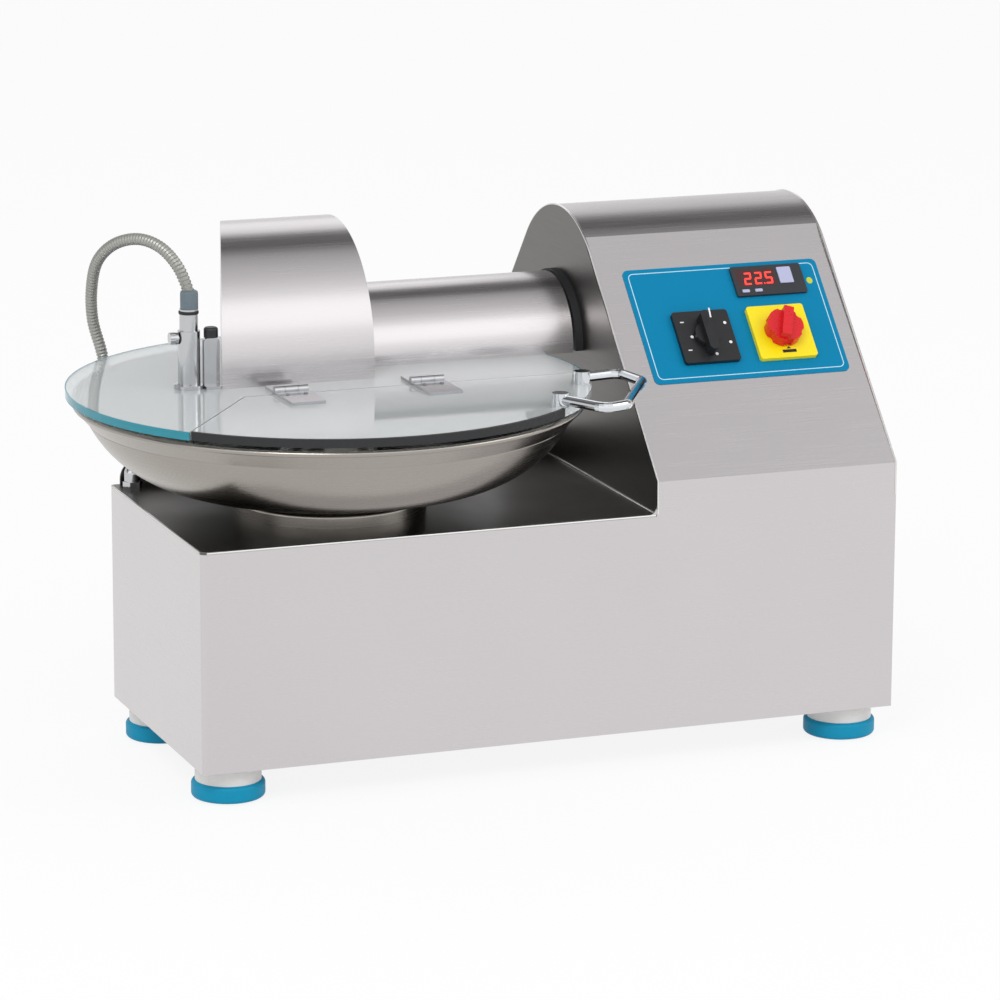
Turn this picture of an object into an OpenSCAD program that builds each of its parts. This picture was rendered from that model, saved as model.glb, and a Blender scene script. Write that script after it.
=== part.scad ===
// Table-top bowl cutter: a steel bowl turns under three sickle knives, below a clear lid with hoods.
// X runs to the right, Y to the back and Z up. Places are first given from the middle of the base.

/* [Base] */
// Depth of the deck beside the tower
deck_d = 305; // [295:1:360]
// Height of the deck above the table
deck_z = 253; // [240:1:300]
// Height of the feet
foot_h = 34; // [26:1:48]
// Radius of a foot's rubber ring
foot_r = 36; // [28:1:44]
// Thickness of the sheet steel
sheet = 2; // [1:0.5:3]
// Radius of the upright edges
corner_r = 5; // [4:1:12]
// Height of the upturned edge behind the bowl
upstand_h = 25; // [10:1:35]

/* [Tower] */
// Width of the tower
tower_w = 258.5; // [250:0.5:320]
// Depth of the tower from the front of the base
tower_d = 432.5; // [420:0.5:480]
// Height of the lower fold of the sloped face
slope_z = 285.6; // [275:0.2:300]
// Angle of the sloped face
slope_angle = 46.5; // [44:0.5:49]
// Length of the sloped face
slope_len = 288; // [275:1:300]
// Angle of the slope at the back
rear_angle = 50; // [42:1:58]

/* [Bowl] */
// Distance of the bowl's axis from the left side of the base
bowl_from_left = 176.5; // [165:0.5:200]
// Distance of the bowl's axis from the front of the base
bowl_from_front = 140.5; // [132:0.5:160]
// Radius at which the trough's section is centred
trough_r = 126; // [122:0.5:130]
// Radius of the trough's section
trough_arc = 115; // [112:0.5:118]
// Width of the trough's flat
trough_flat = 6; // [2:0.5:10]
// Radius of the bowl's rim
rim_r = 251.5; // [248:0.5:254]
// Thickness of the bowl's wall
bowl_wall = 2.5; // [1.5:0.25:3.5]

/* [Lid] */
// Radius of the clear lid
lid_r = 258; // [255:0.5:270]
// Thickness of the clear lid
lid_t = 8; // [5:0.5:10]
// Gap between the bowl's rim and the lid
lid_gap = 5; // [3:0.5:8]
// Gap between the lid and the tower
tower_gap = 32; // [26:1:45]
// Clearance round the flap
flap_gap = 1.5; // [1:0.25:2.5]

/* [Knives] */
// Gap between the knives and the bowl
knife_gap = 2; // [1.5:0.5:4]
// Thickness of a knife
knife_t = 4; // [3:0.5:5]
// Distance between neighbouring knives
knife_pitch = 12; // [10:0.5:15]
// Number of knives
knives = 3; // [2:1:3]
// Radius of the knife shaft
shaft_r = 12.5; // [11:0.5:14]
// Radius of the arm that carries the knife shaft
arm_r = 28; // [27:0.5:30]

/* [Hoods] */
// Gap between the knives and the hood over them
hood_gap = 7; // [5:0.5:9]
// Thickness of the hoods
hood_t = 1.5; // [1:0.25:2]
// Radius of the cover over the arm
cover_r = 68; // [60:0.5:72]

/* [Drive] */
// Radius of the bowl's spindle
spindle_r = 15; // [13:0.5:17]
// Radius of the pulley on the knife shaft
knife_pulley_r = 40; // [36:1:46]
// Radius of the pulley on the motor
motor_pulley_r = 60; // [50:1:66]
// Radius of the knife motor
motor_r = 70; // [60:1:74]

/* [Panel] */
// Width of the blue panel
panel_w = 212; // [206:1:220]
// Height of the blue panel, up the slope
panel_l = 135; // [130:1:140]
// Side of the selector's plate
selector_plate = 60; // [54:1:62]
// Side of the switch's plate
switch_plate_w = 62; // [56:1:64]

/* [Hose] */
// Outer radius of the ribbed hose
hose_r = 6; // [5:0.25:6.5]
// Number of ribs on the hose
hose_ribs = 120; // [60:5:200]

/* [Hidden] */
// Overrun of a cut past the face that it opens
over = 1;
// Clearance of a running fit, on the radius
fit = 0.05;
// Gap that keeps two moving faces apart
run_gap = 1.5;
// Fineness of round faces
$fn = 96;

// Places that follow from the sizes above
base_w = bowl_from_left + lid_r + tower_gap + tower_w;
left = -base_w / 2;
right = base_w / 2;
front = -deck_d / 2;
deck_back = deck_d / 2;
bowl_x = left + bowl_from_left;
bowl_y = front + bowl_from_front;
tower_x = bowl_x + lid_r + tower_gap;
tower_back = front + tower_d;

// Heights of the bowl's stack
pedestal_h = 14;
plate_t = 7.5;
bowl_lift = 4.5;
plate_z = deck_z + pedestal_h + run_gap;
seat_z = plate_z + plate_t;
trough_z = seat_z + bowl_lift + bowl_wall;
shaft_y = bowl_y + trough_r;
shaft_z = trough_z + trough_arc;
rim_gap = 5.5;
rim_z = shaft_z - arm_r - rim_gap;
lid_z = rim_z + lid_gap;
lid_top = lid_z + lid_t;

// Bowl details
pedestal_r = 95;
hub_r = 32;
hub_top = lid_top - 37.5;
hub_under = seat_z + 24;
lip_r = 3;
flare_reach_share = 0.887;
flare_r = trough_r + trough_flat + flare_reach_share * trough_arc;
flare_z = shaft_z - trough_arc * sqrt(1 - pow(flare_reach_share, 2));
foot_ring_in = 60;
foot_ring_out = 84;
drive_plate_r = 88;
pin_r = 5;
pin_circle = (foot_ring_in + foot_ring_out) / 2;
pin_h = 10;
pins = 3;
spindle_top = hub_top + 10;
spindle_low = foot_h + 36;
lock_knob_r = 24;
lock_knob_h = 18;
lock_lobes = 6;

// Knife shaft, arm and drive
knife_r = trough_arc - knife_gap;
hub_disc_r = 24;
hub_end = 8;
knife_hub_l = (knives - 1) * knife_pitch + 2 * hub_end;
hub_left = bowl_x - knife_hub_l / 2;
hub_right = bowl_x + knife_hub_l / 2;
nut_h = 14;
nut_r = 20;
arm_start = hub_right + 16;
arm_end = tower_x + 26;
seal_w = 6;
bearing_r = 23.5;
bearing_w = 12;
shoulder_r = 17;
flange_r = 60;
flange_t = 10;
belt_w = 20;
belt_t = 4;
pulley_lip = 5;
pulley_lip_t = 2.5;
pulley_w = belt_w + 2 * pulley_lip_t + run_gap;
pulley_x = arm_end + 12;
motor_y = shaft_y - 54;
motor_foot_h = 9;
motor_z = foot_h + sheet + motor_foot_h + motor_r;
motor_x = pulley_x + pulley_w + 12;
motor_end_gap = 32;
motor_l = right - motor_end_gap - motor_x;
motor_shaft_r = 12;
spindle_bearing_r = 31;
housing_r = 38;
housing_l = 101;
housing_flange_t = 10;
gear_w = 110;
gear_h = 90;
gear_motor_r = 50;
gear_motor_l = 180;

// Lid details
hood_in = knife_r + hood_gap;
hood_out = hood_in + hood_t;
hood_right = bowl_x + 47;
hood_left = bowl_x - 69;
hood_skew = 17.2;
window_step = 2;
arm_slot = arm_r + 5;
cover_rise = 3.5;
cover_gap = 10;
cover_end = tower_x - cover_gap;
seal_gap = 2;
hinge_y = bowl_y + lid_r + 12;
hinge_z = lid_z + 2.5;
rod_r = 7;
barrel_r = 13;
hinge_arm_w = 28;
hinge_arm_l = 70;
hinge_arms_x = [bowl_x + 54, bowl_x + 102];
rod_left = hinge_arms_x[0] - 8;

// Flap in the front of the lid
flap_y = bowl_y - 34.5;
flap_left = bowl_x - 99;
flap_edge_w = 4;
clips_x = [bowl_x - 51, bowl_x + 89];
clip_w = 34;
clip_l = 56;
clip_t = 3;
clip_pin_r = 2;
clip_knuckle_r = 4;
clip_knuckles = 3;
flap_hinge_y = flap_y + flap_gap / 2;
flap_hinge_z = lid_top + clip_knuckle_r;

// Handle: a bent rod whose plan follows the flap's right edge
handle_r = 5;
handle_z = lid_top + 6;

// Probe, post and knob on the lid
probe_x = bowl_x - 136;
probe_y = bowl_y + 23;
probe_h = 57;
probe_tube_r = 11;
probe_ring_h = 4;
probe_ring_r = 9;
sleeve_h = 17.5;
rod_probe_r = 4;
probe_drop = 9;
screw_r = 3;
screw_l = 12;
screw_head_r = 6;
screw_head_l = 8;
post_x = bowl_x - 115.5;
post_y = bowl_y + 17;
post_w = 16;
post_t = 6;
post_h = 49.5;
post_foot = 20;
post_knob_r = 7;
post_knob_h = 10;

// Panel: places are x from the tower's left side and s up the slope from its lower fold
panel_x = 29;
panel_s = 110;
panel_t = 1;
panel_r = 6;
bezel_w = 77;
bezel_l = 35;
bezel_t = 3;
bezel_x = 144;
bezel_s = 204;
digit_w = 43;
digit_l = 20;
key_w = 15;
key_l = 19;
small_key_w = 8;
small_key_l = 3.4;
small_keys = 2;
key_h = 1.5;
key_travel = 1;
selector_x = 65.5;
selector_s = 129;
switch_x = 147;
switch_s = 127.5;
plate_h = 5;
knob_r = 19;
knob_h = 12;
bar_w = 10;
bar_h = 12;
stem_r = 6;

// Rear cover, bottom plate and fastenings
louvre_w = 70;
louvre_h = 4;
louvre_pitch = 14;
louvres = 8;
cable_gland_r = 11;
cable_gland_l = 18;
cable_gland_z = foot_h + 16;
vent_w = 40;
vent_l = 4;
vents = 10;
gland_r = 10;
gland_h = 14;

// Base, tower and rear cover details
sill_h = 25;
hole_l = 24;
upstand_round = upstand_h * 0.8;
spindle_hole_r = spindle_r + 3;
gland_bore_r = 4.5;
cover_in = 24;
cover_lap = 14;
cover_t = 1.5;
cover_low = foot_h + 40;
cover_high = deck_z - sill_h - 18;
cable_r = 8;
cable_bore_r = 5;
cable_flange = 3;
cable_x = right - 60;
cable_z = foot_h + 14;
vent_x = tower_x + 40;
vent_pitch = 17;
vent_back = 60;
foot_in = [38, 42];
foot_places = [[left + foot_in[0], front + foot_in[1]], [right - foot_in[0], front + foot_in[1]],
    [left + foot_in[0], deck_back - foot_in[1]], [right - foot_in[0], tower_back - foot_in[1]]];
foot_screw_r = 5;
foot_round = 4;
cover_head_r = 5;
cover_head_h = 2.5;
louvre_z = cover_low + 30;
louvre_edge = 1.5;
louvre_x = [tower_x + 50, right - 50 - louvre_w];
slope_dist = (shaft_y - front) * sin(slope_angle) - (shaft_z - slope_z) * cos(slope_angle);
fold_past = slope_len - (shaft_y - front) * cos(slope_angle) - (shaft_z - slope_z) * sin(slope_angle);

// Panel details
bezel_edge = 4;
bezel_r = 2;
window_t = 1;
key_pocket = 2.2;
key_x = bezel_w - bezel_edge - key_w - 8;
key_y = bezel_l - bezel_edge - key_l;
key_proud = 1;
key_round = 1;
small_key_x = 6;
small_key_pitch = 14;
small_key_y = 3.5;
switch_w = switch_plate_w;
plate_round = 3;
stem_deep = 18;
dial_h = 5;
dial_r = 13;
bar_l = 36;
scallops = 6;
scallop_r = 5;
switch_lean = 20;
bar_rise = 8;

// Drive details
cover_z = lid_top + cover_rise;
seal_out = 2;
seal_in = 8;
blade_root_r = 25;
back_r = 68;
tail_low = 20;
edge_r = 60;
edge_x = 38;
edge_y = -30;
blade_turn = 40;
spanner_holes = 4;
nut_cap = 8;
pulley_holes = 5;
motor_seat = 30;
motor_fins = 9;
fin_t = 4;
motor_foot_in = 22;
motor_foot_w = 30;
pedestal_round = 4;
housing_z = deck_z - sheet - housing_l;
shoulder_bore_r = spindle_r + 6;
spindle_bearing_z = [housing_z, deck_z - sheet - bearing_w];
gear_fins = 8;
box_w = 60;
box_d = 120;
box_h = 110;
box_back = 20;
box_z = 215;

// Lid details
hinge_arm_t = 6;
rod_flange_t = 4;
rod_flange_r = 16;
knuckle_w = 14;
run_fit = 0.3;
flap_angle = 54.2;
flap_edge_end = bowl_x + 173;
handle_bend = 12;
bend_steps = 5;
handle_sides = 16;
handle_boss_r = 8;
handle_plan = [[-11, -20.3], [27, -16], [48, -23.7], [55, -44], [44, -48.5], [-12, -45]];
handle_pts = [for (p = handle_plan) [bowl_x + (lid_r + p[0]) * cos(p[1]), bowl_y + (lid_r + p[0]) * sin(p[1]), handle_z]];
probe_flange_r = 15;
probe_flange_t = 4;
probe_tip_z = trough_z + probe_drop;
screw_z = lid_top + 50;
screw_flutes = 8;
post_stem = 12;
post_gap = 0.8;
post_stem_r = 2.5;
post_knob_round = 2.5;

// Ribbed hose: points of its route, from the bowl's axis and the lid's top, then from the deck
hose_above = [
    [-135, 24, 78.5], [-135, 24, 92.5], [-141, 39, 116.5], [-151, 65, 132.5], [-165, 95, 136.5],
    [-180, 127, 126.5], [-189, 156, 104.5], [-188, 181, 71.5], [-182, 199, 37.5], [-172, 208, 7.5],
    [-169, 209, -5.5], [-168, 202, -29.5]];
hose_below = [
    [-165, 184, 77], [-163, 170, 70], [-160, 152, 52], [-159, 145, 27], [-159, 145, 14]];
hose_route = concat([for (p = hose_above) p + [bowl_x, bowl_y, lid_top]],
    [for (p = hose_below) p + [bowl_x, bowl_y, deck_z]]);
gland_at = hose_route[len(hose_route) - 1];
hose_sides = 8;
hose_bore_r = hose_r - 2.5;
rib_h = 1;
rear_fold = 0.5;
tuck = 0.04;

// The origin is on the table, under the middle of the whole part
reach_left = bowl_x - lid_r;
reach_front = bowl_y - lid_r;
reach_back = tower_back + cable_gland_l;
module framed() {
    translate([-(reach_left + right) / 2, -(reach_front + reach_back) / 2, 0]) children();
}
module along_x(x) { translate([x, 0, 0]) rotate([90, 0, 90]) children(); }
module rod_x(x, y, z, r, l) { translate([x, y, z]) rotate([0, 90, 0]) cylinder(h = l, r = r); }
module bar(x0, x1, y0, y1, z0, z1) { translate([x0, y0, z0]) cube([x1 - x0, y1 - y0, z1 - z0]); }

// Plan of the base, an L: the deck's part and the deeper tower
module round_rect(x0, y0, x1, y1, r) {
    for (x = [x0 + r, x1 - r], y = [y0 + r, y1 - r]) translate([x, y]) circle(r);
    translate([x0 + r, y0]) square([x1 - x0 - 2 * r, y1 - y0]);
    translate([x0, y0 + r]) square([x1 - x0, y1 - y0 - 2 * r]);
}
module tower_plan(inset) {
    translate([tower_x + inset, front + inset]) square([tower_w - 2 * inset, tower_d - 2 * inset]);
}
module plan(inset) {
    round_rect(left + inset, front + inset, tower_x + 4 * corner_r, deck_back - inset, corner_r - inset);
    tower_plan(inset);
}
module ring_wall(z0, z1) {
    translate([0, 0, z0]) linear_extrude(z1 - z0) difference() { children(0); children(1); }
}

// Walls of the base; the back of the tower is open for the rear cover
module base_housing() color("silver") framed() difference() {
    union() {
        ring_wall(foot_h, deck_z - sheet) { plan(0); plan(sheet); }
        ring_wall(deck_z - sill_h, deck_z) { tower_plan(0); tower_plan(sheet); }
        bar(tower_x + sheet, right - sheet, front, front + sheet, deck_z - over, slope_z);
    }
    bar(tower_x + cover_in, right - cover_in, tower_back - 2 * sheet, tower_back + over, cover_low, cover_high);
    rear_holes() cylinder(h = hole_l, r = screw_r + fit, center = true);
    translate([cable_x, tower_back, cable_z]) rotate([90, 0, 0])
        cylinder(h = hole_l, r = cable_r + fit, center = true);
}

// Floor of the base, with a hole for each foot's screw and slots that let air in
module bottom_plate() color("gray") framed() difference() {
    translate([0, 0, foot_h]) linear_extrude(sheet) plan(sheet);
    for (i = [0:vents - 1])
        bar(vent_x + i * vent_pitch, vent_x + i * vent_pitch + vent_w,
            tower_back - vent_back - vent_l, tower_back - vent_back, foot_h - over, foot_h + sheet + over);
    for (p = foot_places) translate([p[0], p[1], foot_h - over]) cylinder(h = sheet + 2 * over, r = foot_screw_r);
}

// Deck under the bowl, turned up at the back with a rounded end
module deck() color("gainsboro") framed() {
    difference() {
        translate([0, 0, deck_z - sheet]) linear_extrude(sheet) intersection() {
            round_rect(left, front, tower_x + 4 * corner_r, deck_back, corner_r);
            translate([left, front]) square([tower_x - left, deck_d]);
        }
        translate([bowl_x, bowl_y, deck_z - sheet - over]) cylinder(h = sheet + 2 * over, r = spindle_hole_r);
        translate([gland_at[0], gland_at[1], deck_z - sheet - over])
            cylinder(h = sheet + 2 * over, r = gland_bore_r);
    }
    translate([0, deck_back, deck_z]) rotate([90, 0, 0]) linear_extrude(sheet) {
        translate([left + 2 * corner_r, 0]) square([tower_x - left - 2 * corner_r, upstand_h - upstand_round]);
        translate([left + 2 * corner_r + upstand_round, 0])
            square([tower_x - left - 2 * corner_r - upstand_round, upstand_h]);
        translate([left + 2 * corner_r + upstand_round, upstand_h - upstand_round]) intersection() {
            circle(upstand_round);
            translate([-upstand_round, 0]) square(upstand_round);
        }
    }
}

// Profile of the tower seen from its side, y along and z up, drawn in by inset: two slopes cut off by the crown's circle
function crown(inset) = sqrt(pow(slope_dist - inset, 2) + pow(fold_past, 2));
function slope_dir(inset) = (slope_dist - inset) * [-sin(slope_angle), cos(slope_angle)];
function rear_dir(inset) = (crown(inset) - rear_fold) * [sin(rear_angle), cos(rear_angle)];
function rear_line(inset, y) = shaft_z + rear_dir(inset)[1] - (y - shaft_y - rear_dir(inset)[0]) * tan(rear_angle);
function slope_line(inset, y) = shaft_z + slope_dir(inset)[1] + (y - shaft_y - slope_dir(inset)[0]) * tan(slope_angle);
function apex_y(inset) = shaft_y + (rear_line(inset, shaft_y) - slope_line(inset, shaft_y))
    / (tan(slope_angle) + tan(rear_angle));
module tower_profile(inset) {
    axis = [shaft_y, shaft_z];
    difference() {
        polygon([[front + inset, deck_z], [front + inset, slope_line(inset, front + inset)],
            [apex_y(inset), slope_line(inset, apex_y(inset))],
            [tower_back - inset, rear_line(inset, tower_back - inset)], [tower_back - inset, deck_z]]);
        difference() {
            polygon([axis, axis + 3 * slope_dir(inset), axis + [0, 6 * crown(inset)], axis + 3 * rear_dir(inset)]);
            translate(axis) circle(crown(inset));
        }
    }
}
module tower_left_wall() color("dimgray") framed() difference() {
    along_x(tower_x) linear_extrude(sheet) tower_profile(0);
    rod_x(tower_x - over, shaft_y, shaft_z, arm_r + fit, sheet + 2 * over);
    rod_x(tower_x - over, hinge_y, hinge_z, rod_r + fit, sheet + 2 * over);
}
module tower_right_wall() color("silver") framed() along_x(right - sheet) linear_extrude(sheet) tower_profile(0);

// One folded sheet: up the slope, over the crown and down the back
module tower_cover() color("silver") framed() difference() {
    along_x(tower_x + sheet) linear_extrude(tower_w - 2 * sheet) difference() {
        tower_profile(0);
        tower_profile(sheet);
        translate([front, deck_z]) square([sheet, slope_z - deck_z]);
    }
    on_slope(selector_x + selector_plate / 2, selector_s + selector_plate / 2) slope_hole(stem_r + run_gap);
    on_slope(switch_x + switch_w / 2, switch_s + switch_w / 2) slope_hole(stem_r + run_gap);
}
module slope_hole(r) { cylinder(h = hole_l, r = r, center = true); }

// Back of the tower: a louvred cover with its screws
module rear_holes() {
    for (x = [tower_x + cover_in - cover_lap / 2, right - cover_in + cover_lap / 2],
         z = [cover_low - cover_lap / 2, cover_high + cover_lap / 2])
        translate([x, tower_back, z]) rotate([90, 0, 0]) children();
}
module rear_cover() color("silver") framed() difference() {
    union() {
        bar(tower_x + cover_in - cover_lap, right - cover_in + cover_lap, tower_back, tower_back + cover_t,
            cover_low - cover_lap, cover_high + cover_lap);
        for (i = [0:louvres - 1], x = louvre_x)
            translate([x, tower_back + cover_t, louvre_z + i * louvre_pitch + louvre_h]) rotate([0, 90, 0])
                cylinder(h = louvre_w, r = louvre_h);
    }
    for (i = [0:louvres - 1], x = louvre_x)
        bar(x + louvre_edge, x + louvre_w - louvre_edge, tower_back - over, tower_back + louvre_h - louvre_edge,
            louvre_z + i * louvre_pitch - louvre_h, louvre_z + i * louvre_pitch + louvre_h);
    for (i = [0:louvres - 1], x = louvre_x)
        bar(x - over, x + louvre_w + over, tower_back + cover_t, tower_back + 2 * louvre_h,
            louvre_z + i * louvre_pitch - louvre_h, louvre_z + i * louvre_pitch + louvre_h);
    rear_holes() cylinder(h = hole_l, r = screw_r + fit, center = true);
}
module cover_screws() color("silver") framed() rear_holes() {
    translate([0, 0, -cover_t - cover_head_h]) cylinder(h = cover_head_h, r1 = cover_head_r * 0.8, r2 = cover_head_r);
    translate([0, 0, -cover_t - over / 2]) cylinder(h = cover_t + sheet + screw_r, r = screw_r);
}
module cable_gland() color("black") framed() translate([cable_x, tower_back, cable_z]) rotate([-90, 0, 0])
    difference() {
        union() {
            cylinder(h = cable_flange, r = cable_gland_r, $fn = 6);
            cylinder(h = cable_gland_l, r1 = cable_gland_r * 0.85, r2 = cable_gland_r * 0.6);
            translate([0, 0, -sheet - cable_flange]) cylinder(h = sheet + cable_flange + over, r = cable_r);
        }
        translate([0, 0, -sheet - cable_flange - over])
            cylinder(h = cable_gland_l + sheet + cable_flange + 2 * over, r = cable_bore_r);
    }

// Feet: a pale cup screwed to the floor of the base, with a rubber ring below it
module foot_cups() color("gainsboro") framed() for (p = foot_places) translate([p[0], p[1], 0]) {
    translate([0, 0, foot_h / 2]) cylinder(h = foot_h / 2, r = foot_r * 0.9);
    translate([0, 0, foot_h - over]) cylinder(h = sheet + over + foot_screw_r, r = foot_screw_r - fit);
}
module foot_rings() color("deepskyblue") framed() for (p = foot_places) translate([p[0], p[1], 0])
    rotate_extrude() {
        square([foot_r - foot_round, foot_h / 2]);
        translate([0, foot_round]) square([foot_r, foot_h / 2 - 2 * foot_round]);
        for (z = [foot_round, foot_h / 2 - foot_round]) translate([foot_r - foot_round, z]) circle(foot_round);
    }

// Control panel on the slope: x from the tower's left side, s up the slope from its lower fold
module on_slope(x, s) {
    translate([tower_x + x, front + s * cos(slope_angle), slope_z + s * sin(slope_angle)])
        rotate([slope_angle, 0, 0]) children();
}
module plate(w, l, h, r) { linear_extrude(h) round_rect(0, 0, w, l, r); }
module control_panel() color("deepskyblue") framed() difference() {
    on_slope(panel_x, panel_s) plate(panel_w, panel_l, panel_t, panel_r);
    on_slope(selector_x + selector_plate / 2, selector_s + selector_plate / 2) slope_hole(stem_r + run_gap);
    on_slope(switch_x + switch_w / 2, switch_s + switch_w / 2) slope_hole(stem_r + run_gap);
}
module display_bezel() color("gray") framed() on_slope(bezel_x, bezel_s) translate([0, 0, panel_t]) difference() {
    plate(bezel_w, bezel_l, bezel_t, bezel_r);
    translate([bezel_edge, bezel_l - bezel_edge - digit_l, bezel_t - window_t])
        cube([digit_w, digit_l, window_t + over]);
    translate([key_x, key_y, bezel_t - key_pocket]) cube([key_w, key_l, key_pocket + over]);
    for (i = [0:small_keys - 1]) translate([small_key_x + i * small_key_pitch, small_key_y, bezel_t - key_pocket])
        cube([small_key_w, small_key_l, key_pocket + over]);
}
module display_window() color("red") framed() on_slope(bezel_x, bezel_s)
    translate([bezel_edge, bezel_l - bezel_edge - digit_l, panel_t + bezel_t - window_t]) cube([digit_w, digit_l, window_t]);
module key(x, y, w, l) {
    on_slope(bezel_x, bezel_s) translate([x + fit, y + fit, panel_t + bezel_t - key_pocket + key_travel + fit])
        plate(w - 2 * fit, l - 2 * fit, key_pocket - key_travel + key_proud, key_round);
}
module set_key() color("lavender") framed() key(key_x, key_y, key_w, key_l);
module small_key_at(i) framed() key(small_key_x + i * small_key_pitch, small_key_y, small_key_w, small_key_l);
module up_key() color("white") small_key_at(0);
module down_key() color("white") small_key_at(1);

// Rotary controls: a plate on the panel and a knob whose stem turns in it
module control_plate(w, round) {
    translate([0, 0, panel_t]) difference() {
        translate([-w / 2, -w / 2, 0]) plate(w, w, plate_h, round);
        slope_hole(stem_r + fit);
    }
}
module stem() { translate([0, 0, -stem_deep]) cylinder(h = stem_deep + panel_t + plate_h + run_gap, r = stem_r); }
module at_selector() { on_slope(selector_x + selector_plate / 2, selector_s + selector_plate / 2) children(); }
module at_switch() { on_slope(switch_x + switch_w / 2, switch_s + switch_w / 2) children(); }
module selector_plate_face() color("black") framed() at_selector() control_plate(selector_plate, plate_round);
module switch_plate() color("yellow") framed() at_switch() control_plate(switch_w, plate_round);
module selector_knob() color("black") framed() at_selector() {
    stem();
    translate([0, 0, panel_t + plate_h + run_gap / 2]) {
        cylinder(h = dial_h, r = dial_r);
        translate([-bar_w / 2, -bar_l / 2, 0]) cube([bar_w, bar_l, bar_h]);
        for (y = [-bar_l / 2, bar_l / 2]) translate([0, y, 0]) cylinder(h = bar_h, r = bar_w / 2);
    }
}
module switch_knob() color("crimson") framed() at_switch() {
    stem();
    translate([0, 0, panel_t + plate_h + run_gap / 2]) {
        difference() {
            cylinder(h = knob_h, r = knob_r);
            for (a = [0:scallops - 1]) rotate((a + 0.5) * 360 / scallops)
                translate([knob_r + scallop_r * 0.6, 0, -over]) cylinder(h = knob_h + 2 * over, r = scallop_r);
        }
        rotate(-switch_lean) translate([-bar_w / 2, -knob_r * 0.9, 0]) cube([bar_w, knob_r * 1.8, knob_h + bar_rise]);
    }
}

// Arm that carries the knife shaft, with its bearings, its seal and the seal of the cover over it
module shaft_arm() color("silver") framed() difference() {
    union() {
        rod_x(arm_start, shaft_y, shaft_z, arm_r, arm_end - arm_start);
        rod_x(tower_x + sheet, shaft_y, shaft_z, flange_r, flange_t);
    }
    rod_x(arm_start - over, shaft_y, shaft_z, shoulder_r, arm_end - arm_start + 2 * over);
    rod_x(arm_start - over, shaft_y, shaft_z, bearing_r + fit, seal_w + bearing_w + over);
    rod_x(arm_end - bearing_w, shaft_y, shaft_z, bearing_r + fit, bearing_w + over);
}
module shaft_ring(x, r, w) {
    difference() {
        rod_x(x, shaft_y, shaft_z, r, w);
        rod_x(x - over, shaft_y, shaft_z, shaft_r + fit, w + 2 * over);
    }
}
module arm_bearings() color("silver") framed() {
    shaft_ring(arm_start + seal_w, bearing_r, bearing_w);
    shaft_ring(arm_end - bearing_w, bearing_r, bearing_w);
}
module arm_seal() color("black") framed() shaft_ring(arm_start, bearing_r, seal_w);
module arch_seal() color("black") framed() difference() {
    rod_x(cover_end + seal_gap, shaft_y, cover_z, cover_r + seal_out, cover_gap - seal_gap);
    rod_x(cover_end, shaft_y, cover_z, cover_r - seal_in, cover_gap + over);
    bar(cover_end, tower_x + over, shaft_y - 2 * cover_r, shaft_y + 2 * cover_r, deck_z, lid_top + run_gap);
}

// Rotor of the knives: shaft, hub, sickle blades, end nut and belt pulley
module knife_shaft() color("silver") framed()
    rod_x(hub_left - nut_h, shaft_y, shaft_z, shaft_r, pulley_x + pulley_w + nut_h - hub_left);
module knife_hub() color("silver") framed() {
    for (i = [0:knives]) let (x0 = i == 0 ? hub_left : knife_x(i - 1) + knife_t / 2,
                              x1 = i == knives ? hub_right : knife_x(i) - knife_t / 2)
        shaft_ring(x0, hub_disc_r, x1 - x0);
}
function knife_x(i) = bowl_x + (i - (knives - 1) / 2) * knife_pitch;
module knife_blades() color("lightgray") framed() for (i = [0:knives - 1])
    along_x(knife_x(i) - knife_t / 2) linear_extrude(knife_t) translate([shaft_y, shaft_z])
        rotate(blade_turn + i * 360 / knives) blade_outline();
// A sickle: a ring for the hub and a tail between two arcs that meet at the tip on the cutting circle
module blade_outline() {
    difference() {
        union() {
            circle(blade_root_r);
            difference() {
                intersection() {
                    translate([knife_r - back_r, 0]) circle(back_r);
                    circle(knife_r);
                    translate([-knife_r, -tail_low]) square([2 * knife_r, knife_r + tail_low]);
                }
                translate([edge_x, edge_y]) circle(edge_r);
            }
        }
        circle(shaft_r + fit);
    }
}
module knife_nut() color("silver") framed() difference() {
    union() {
        rod_x(hub_left - nut_h, shaft_y, shaft_z, nut_r, nut_h);
        translate([hub_left - nut_h - nut_cap, shaft_y, shaft_z]) rotate([0, 90, 0])
            cylinder(h = nut_cap + over, r1 = nut_r * 0.6, r2 = nut_r);
    }
    rod_x(hub_left - nut_h - over / 2, shaft_y, shaft_z, shaft_r + fit, nut_h + over);
    for (a = [0:spanner_holes - 1]) translate([hub_left - nut_h / 2, shaft_y, shaft_z])
        rotate([a * 360 / spanner_holes, 0, 0]) translate([0, 0, nut_r - screw_r])
            cylinder(h = nut_r, r = screw_r);
}
module pulley(x, y, z, r, bore) {
    difference() {
        union() {
            rod_x(x, y, z, r, pulley_w);
            for (e = [x, x + pulley_w - pulley_lip_t]) rod_x(e, y, z, r + pulley_lip, pulley_lip_t);
        }
        rod_x(x - over, y, z, bore + fit, pulley_w + 2 * over);
        for (a = [0:pulley_holes - 1]) translate([x - over, y, z]) rotate([a * 360 / pulley_holes, 0, 0])
            translate([0, 0, (r + bore) / 2]) rotate([0, 90, 0]) cylinder(h = pulley_w + 2 * over, r = (r - bore) / 5);
    }
}
module knife_pulley() color("gray") framed() pulley(pulley_x, shaft_y, shaft_z, knife_pulley_r, shaft_r);
module motor_pulley() color("gray") framed() pulley(pulley_x, motor_y, motor_z, motor_pulley_r, motor_shaft_r);
module motor_shaft() color("silver") framed()
    rod_x(pulley_x, motor_y, motor_z, motor_shaft_r, motor_x + motor_seat - pulley_x);

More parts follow.
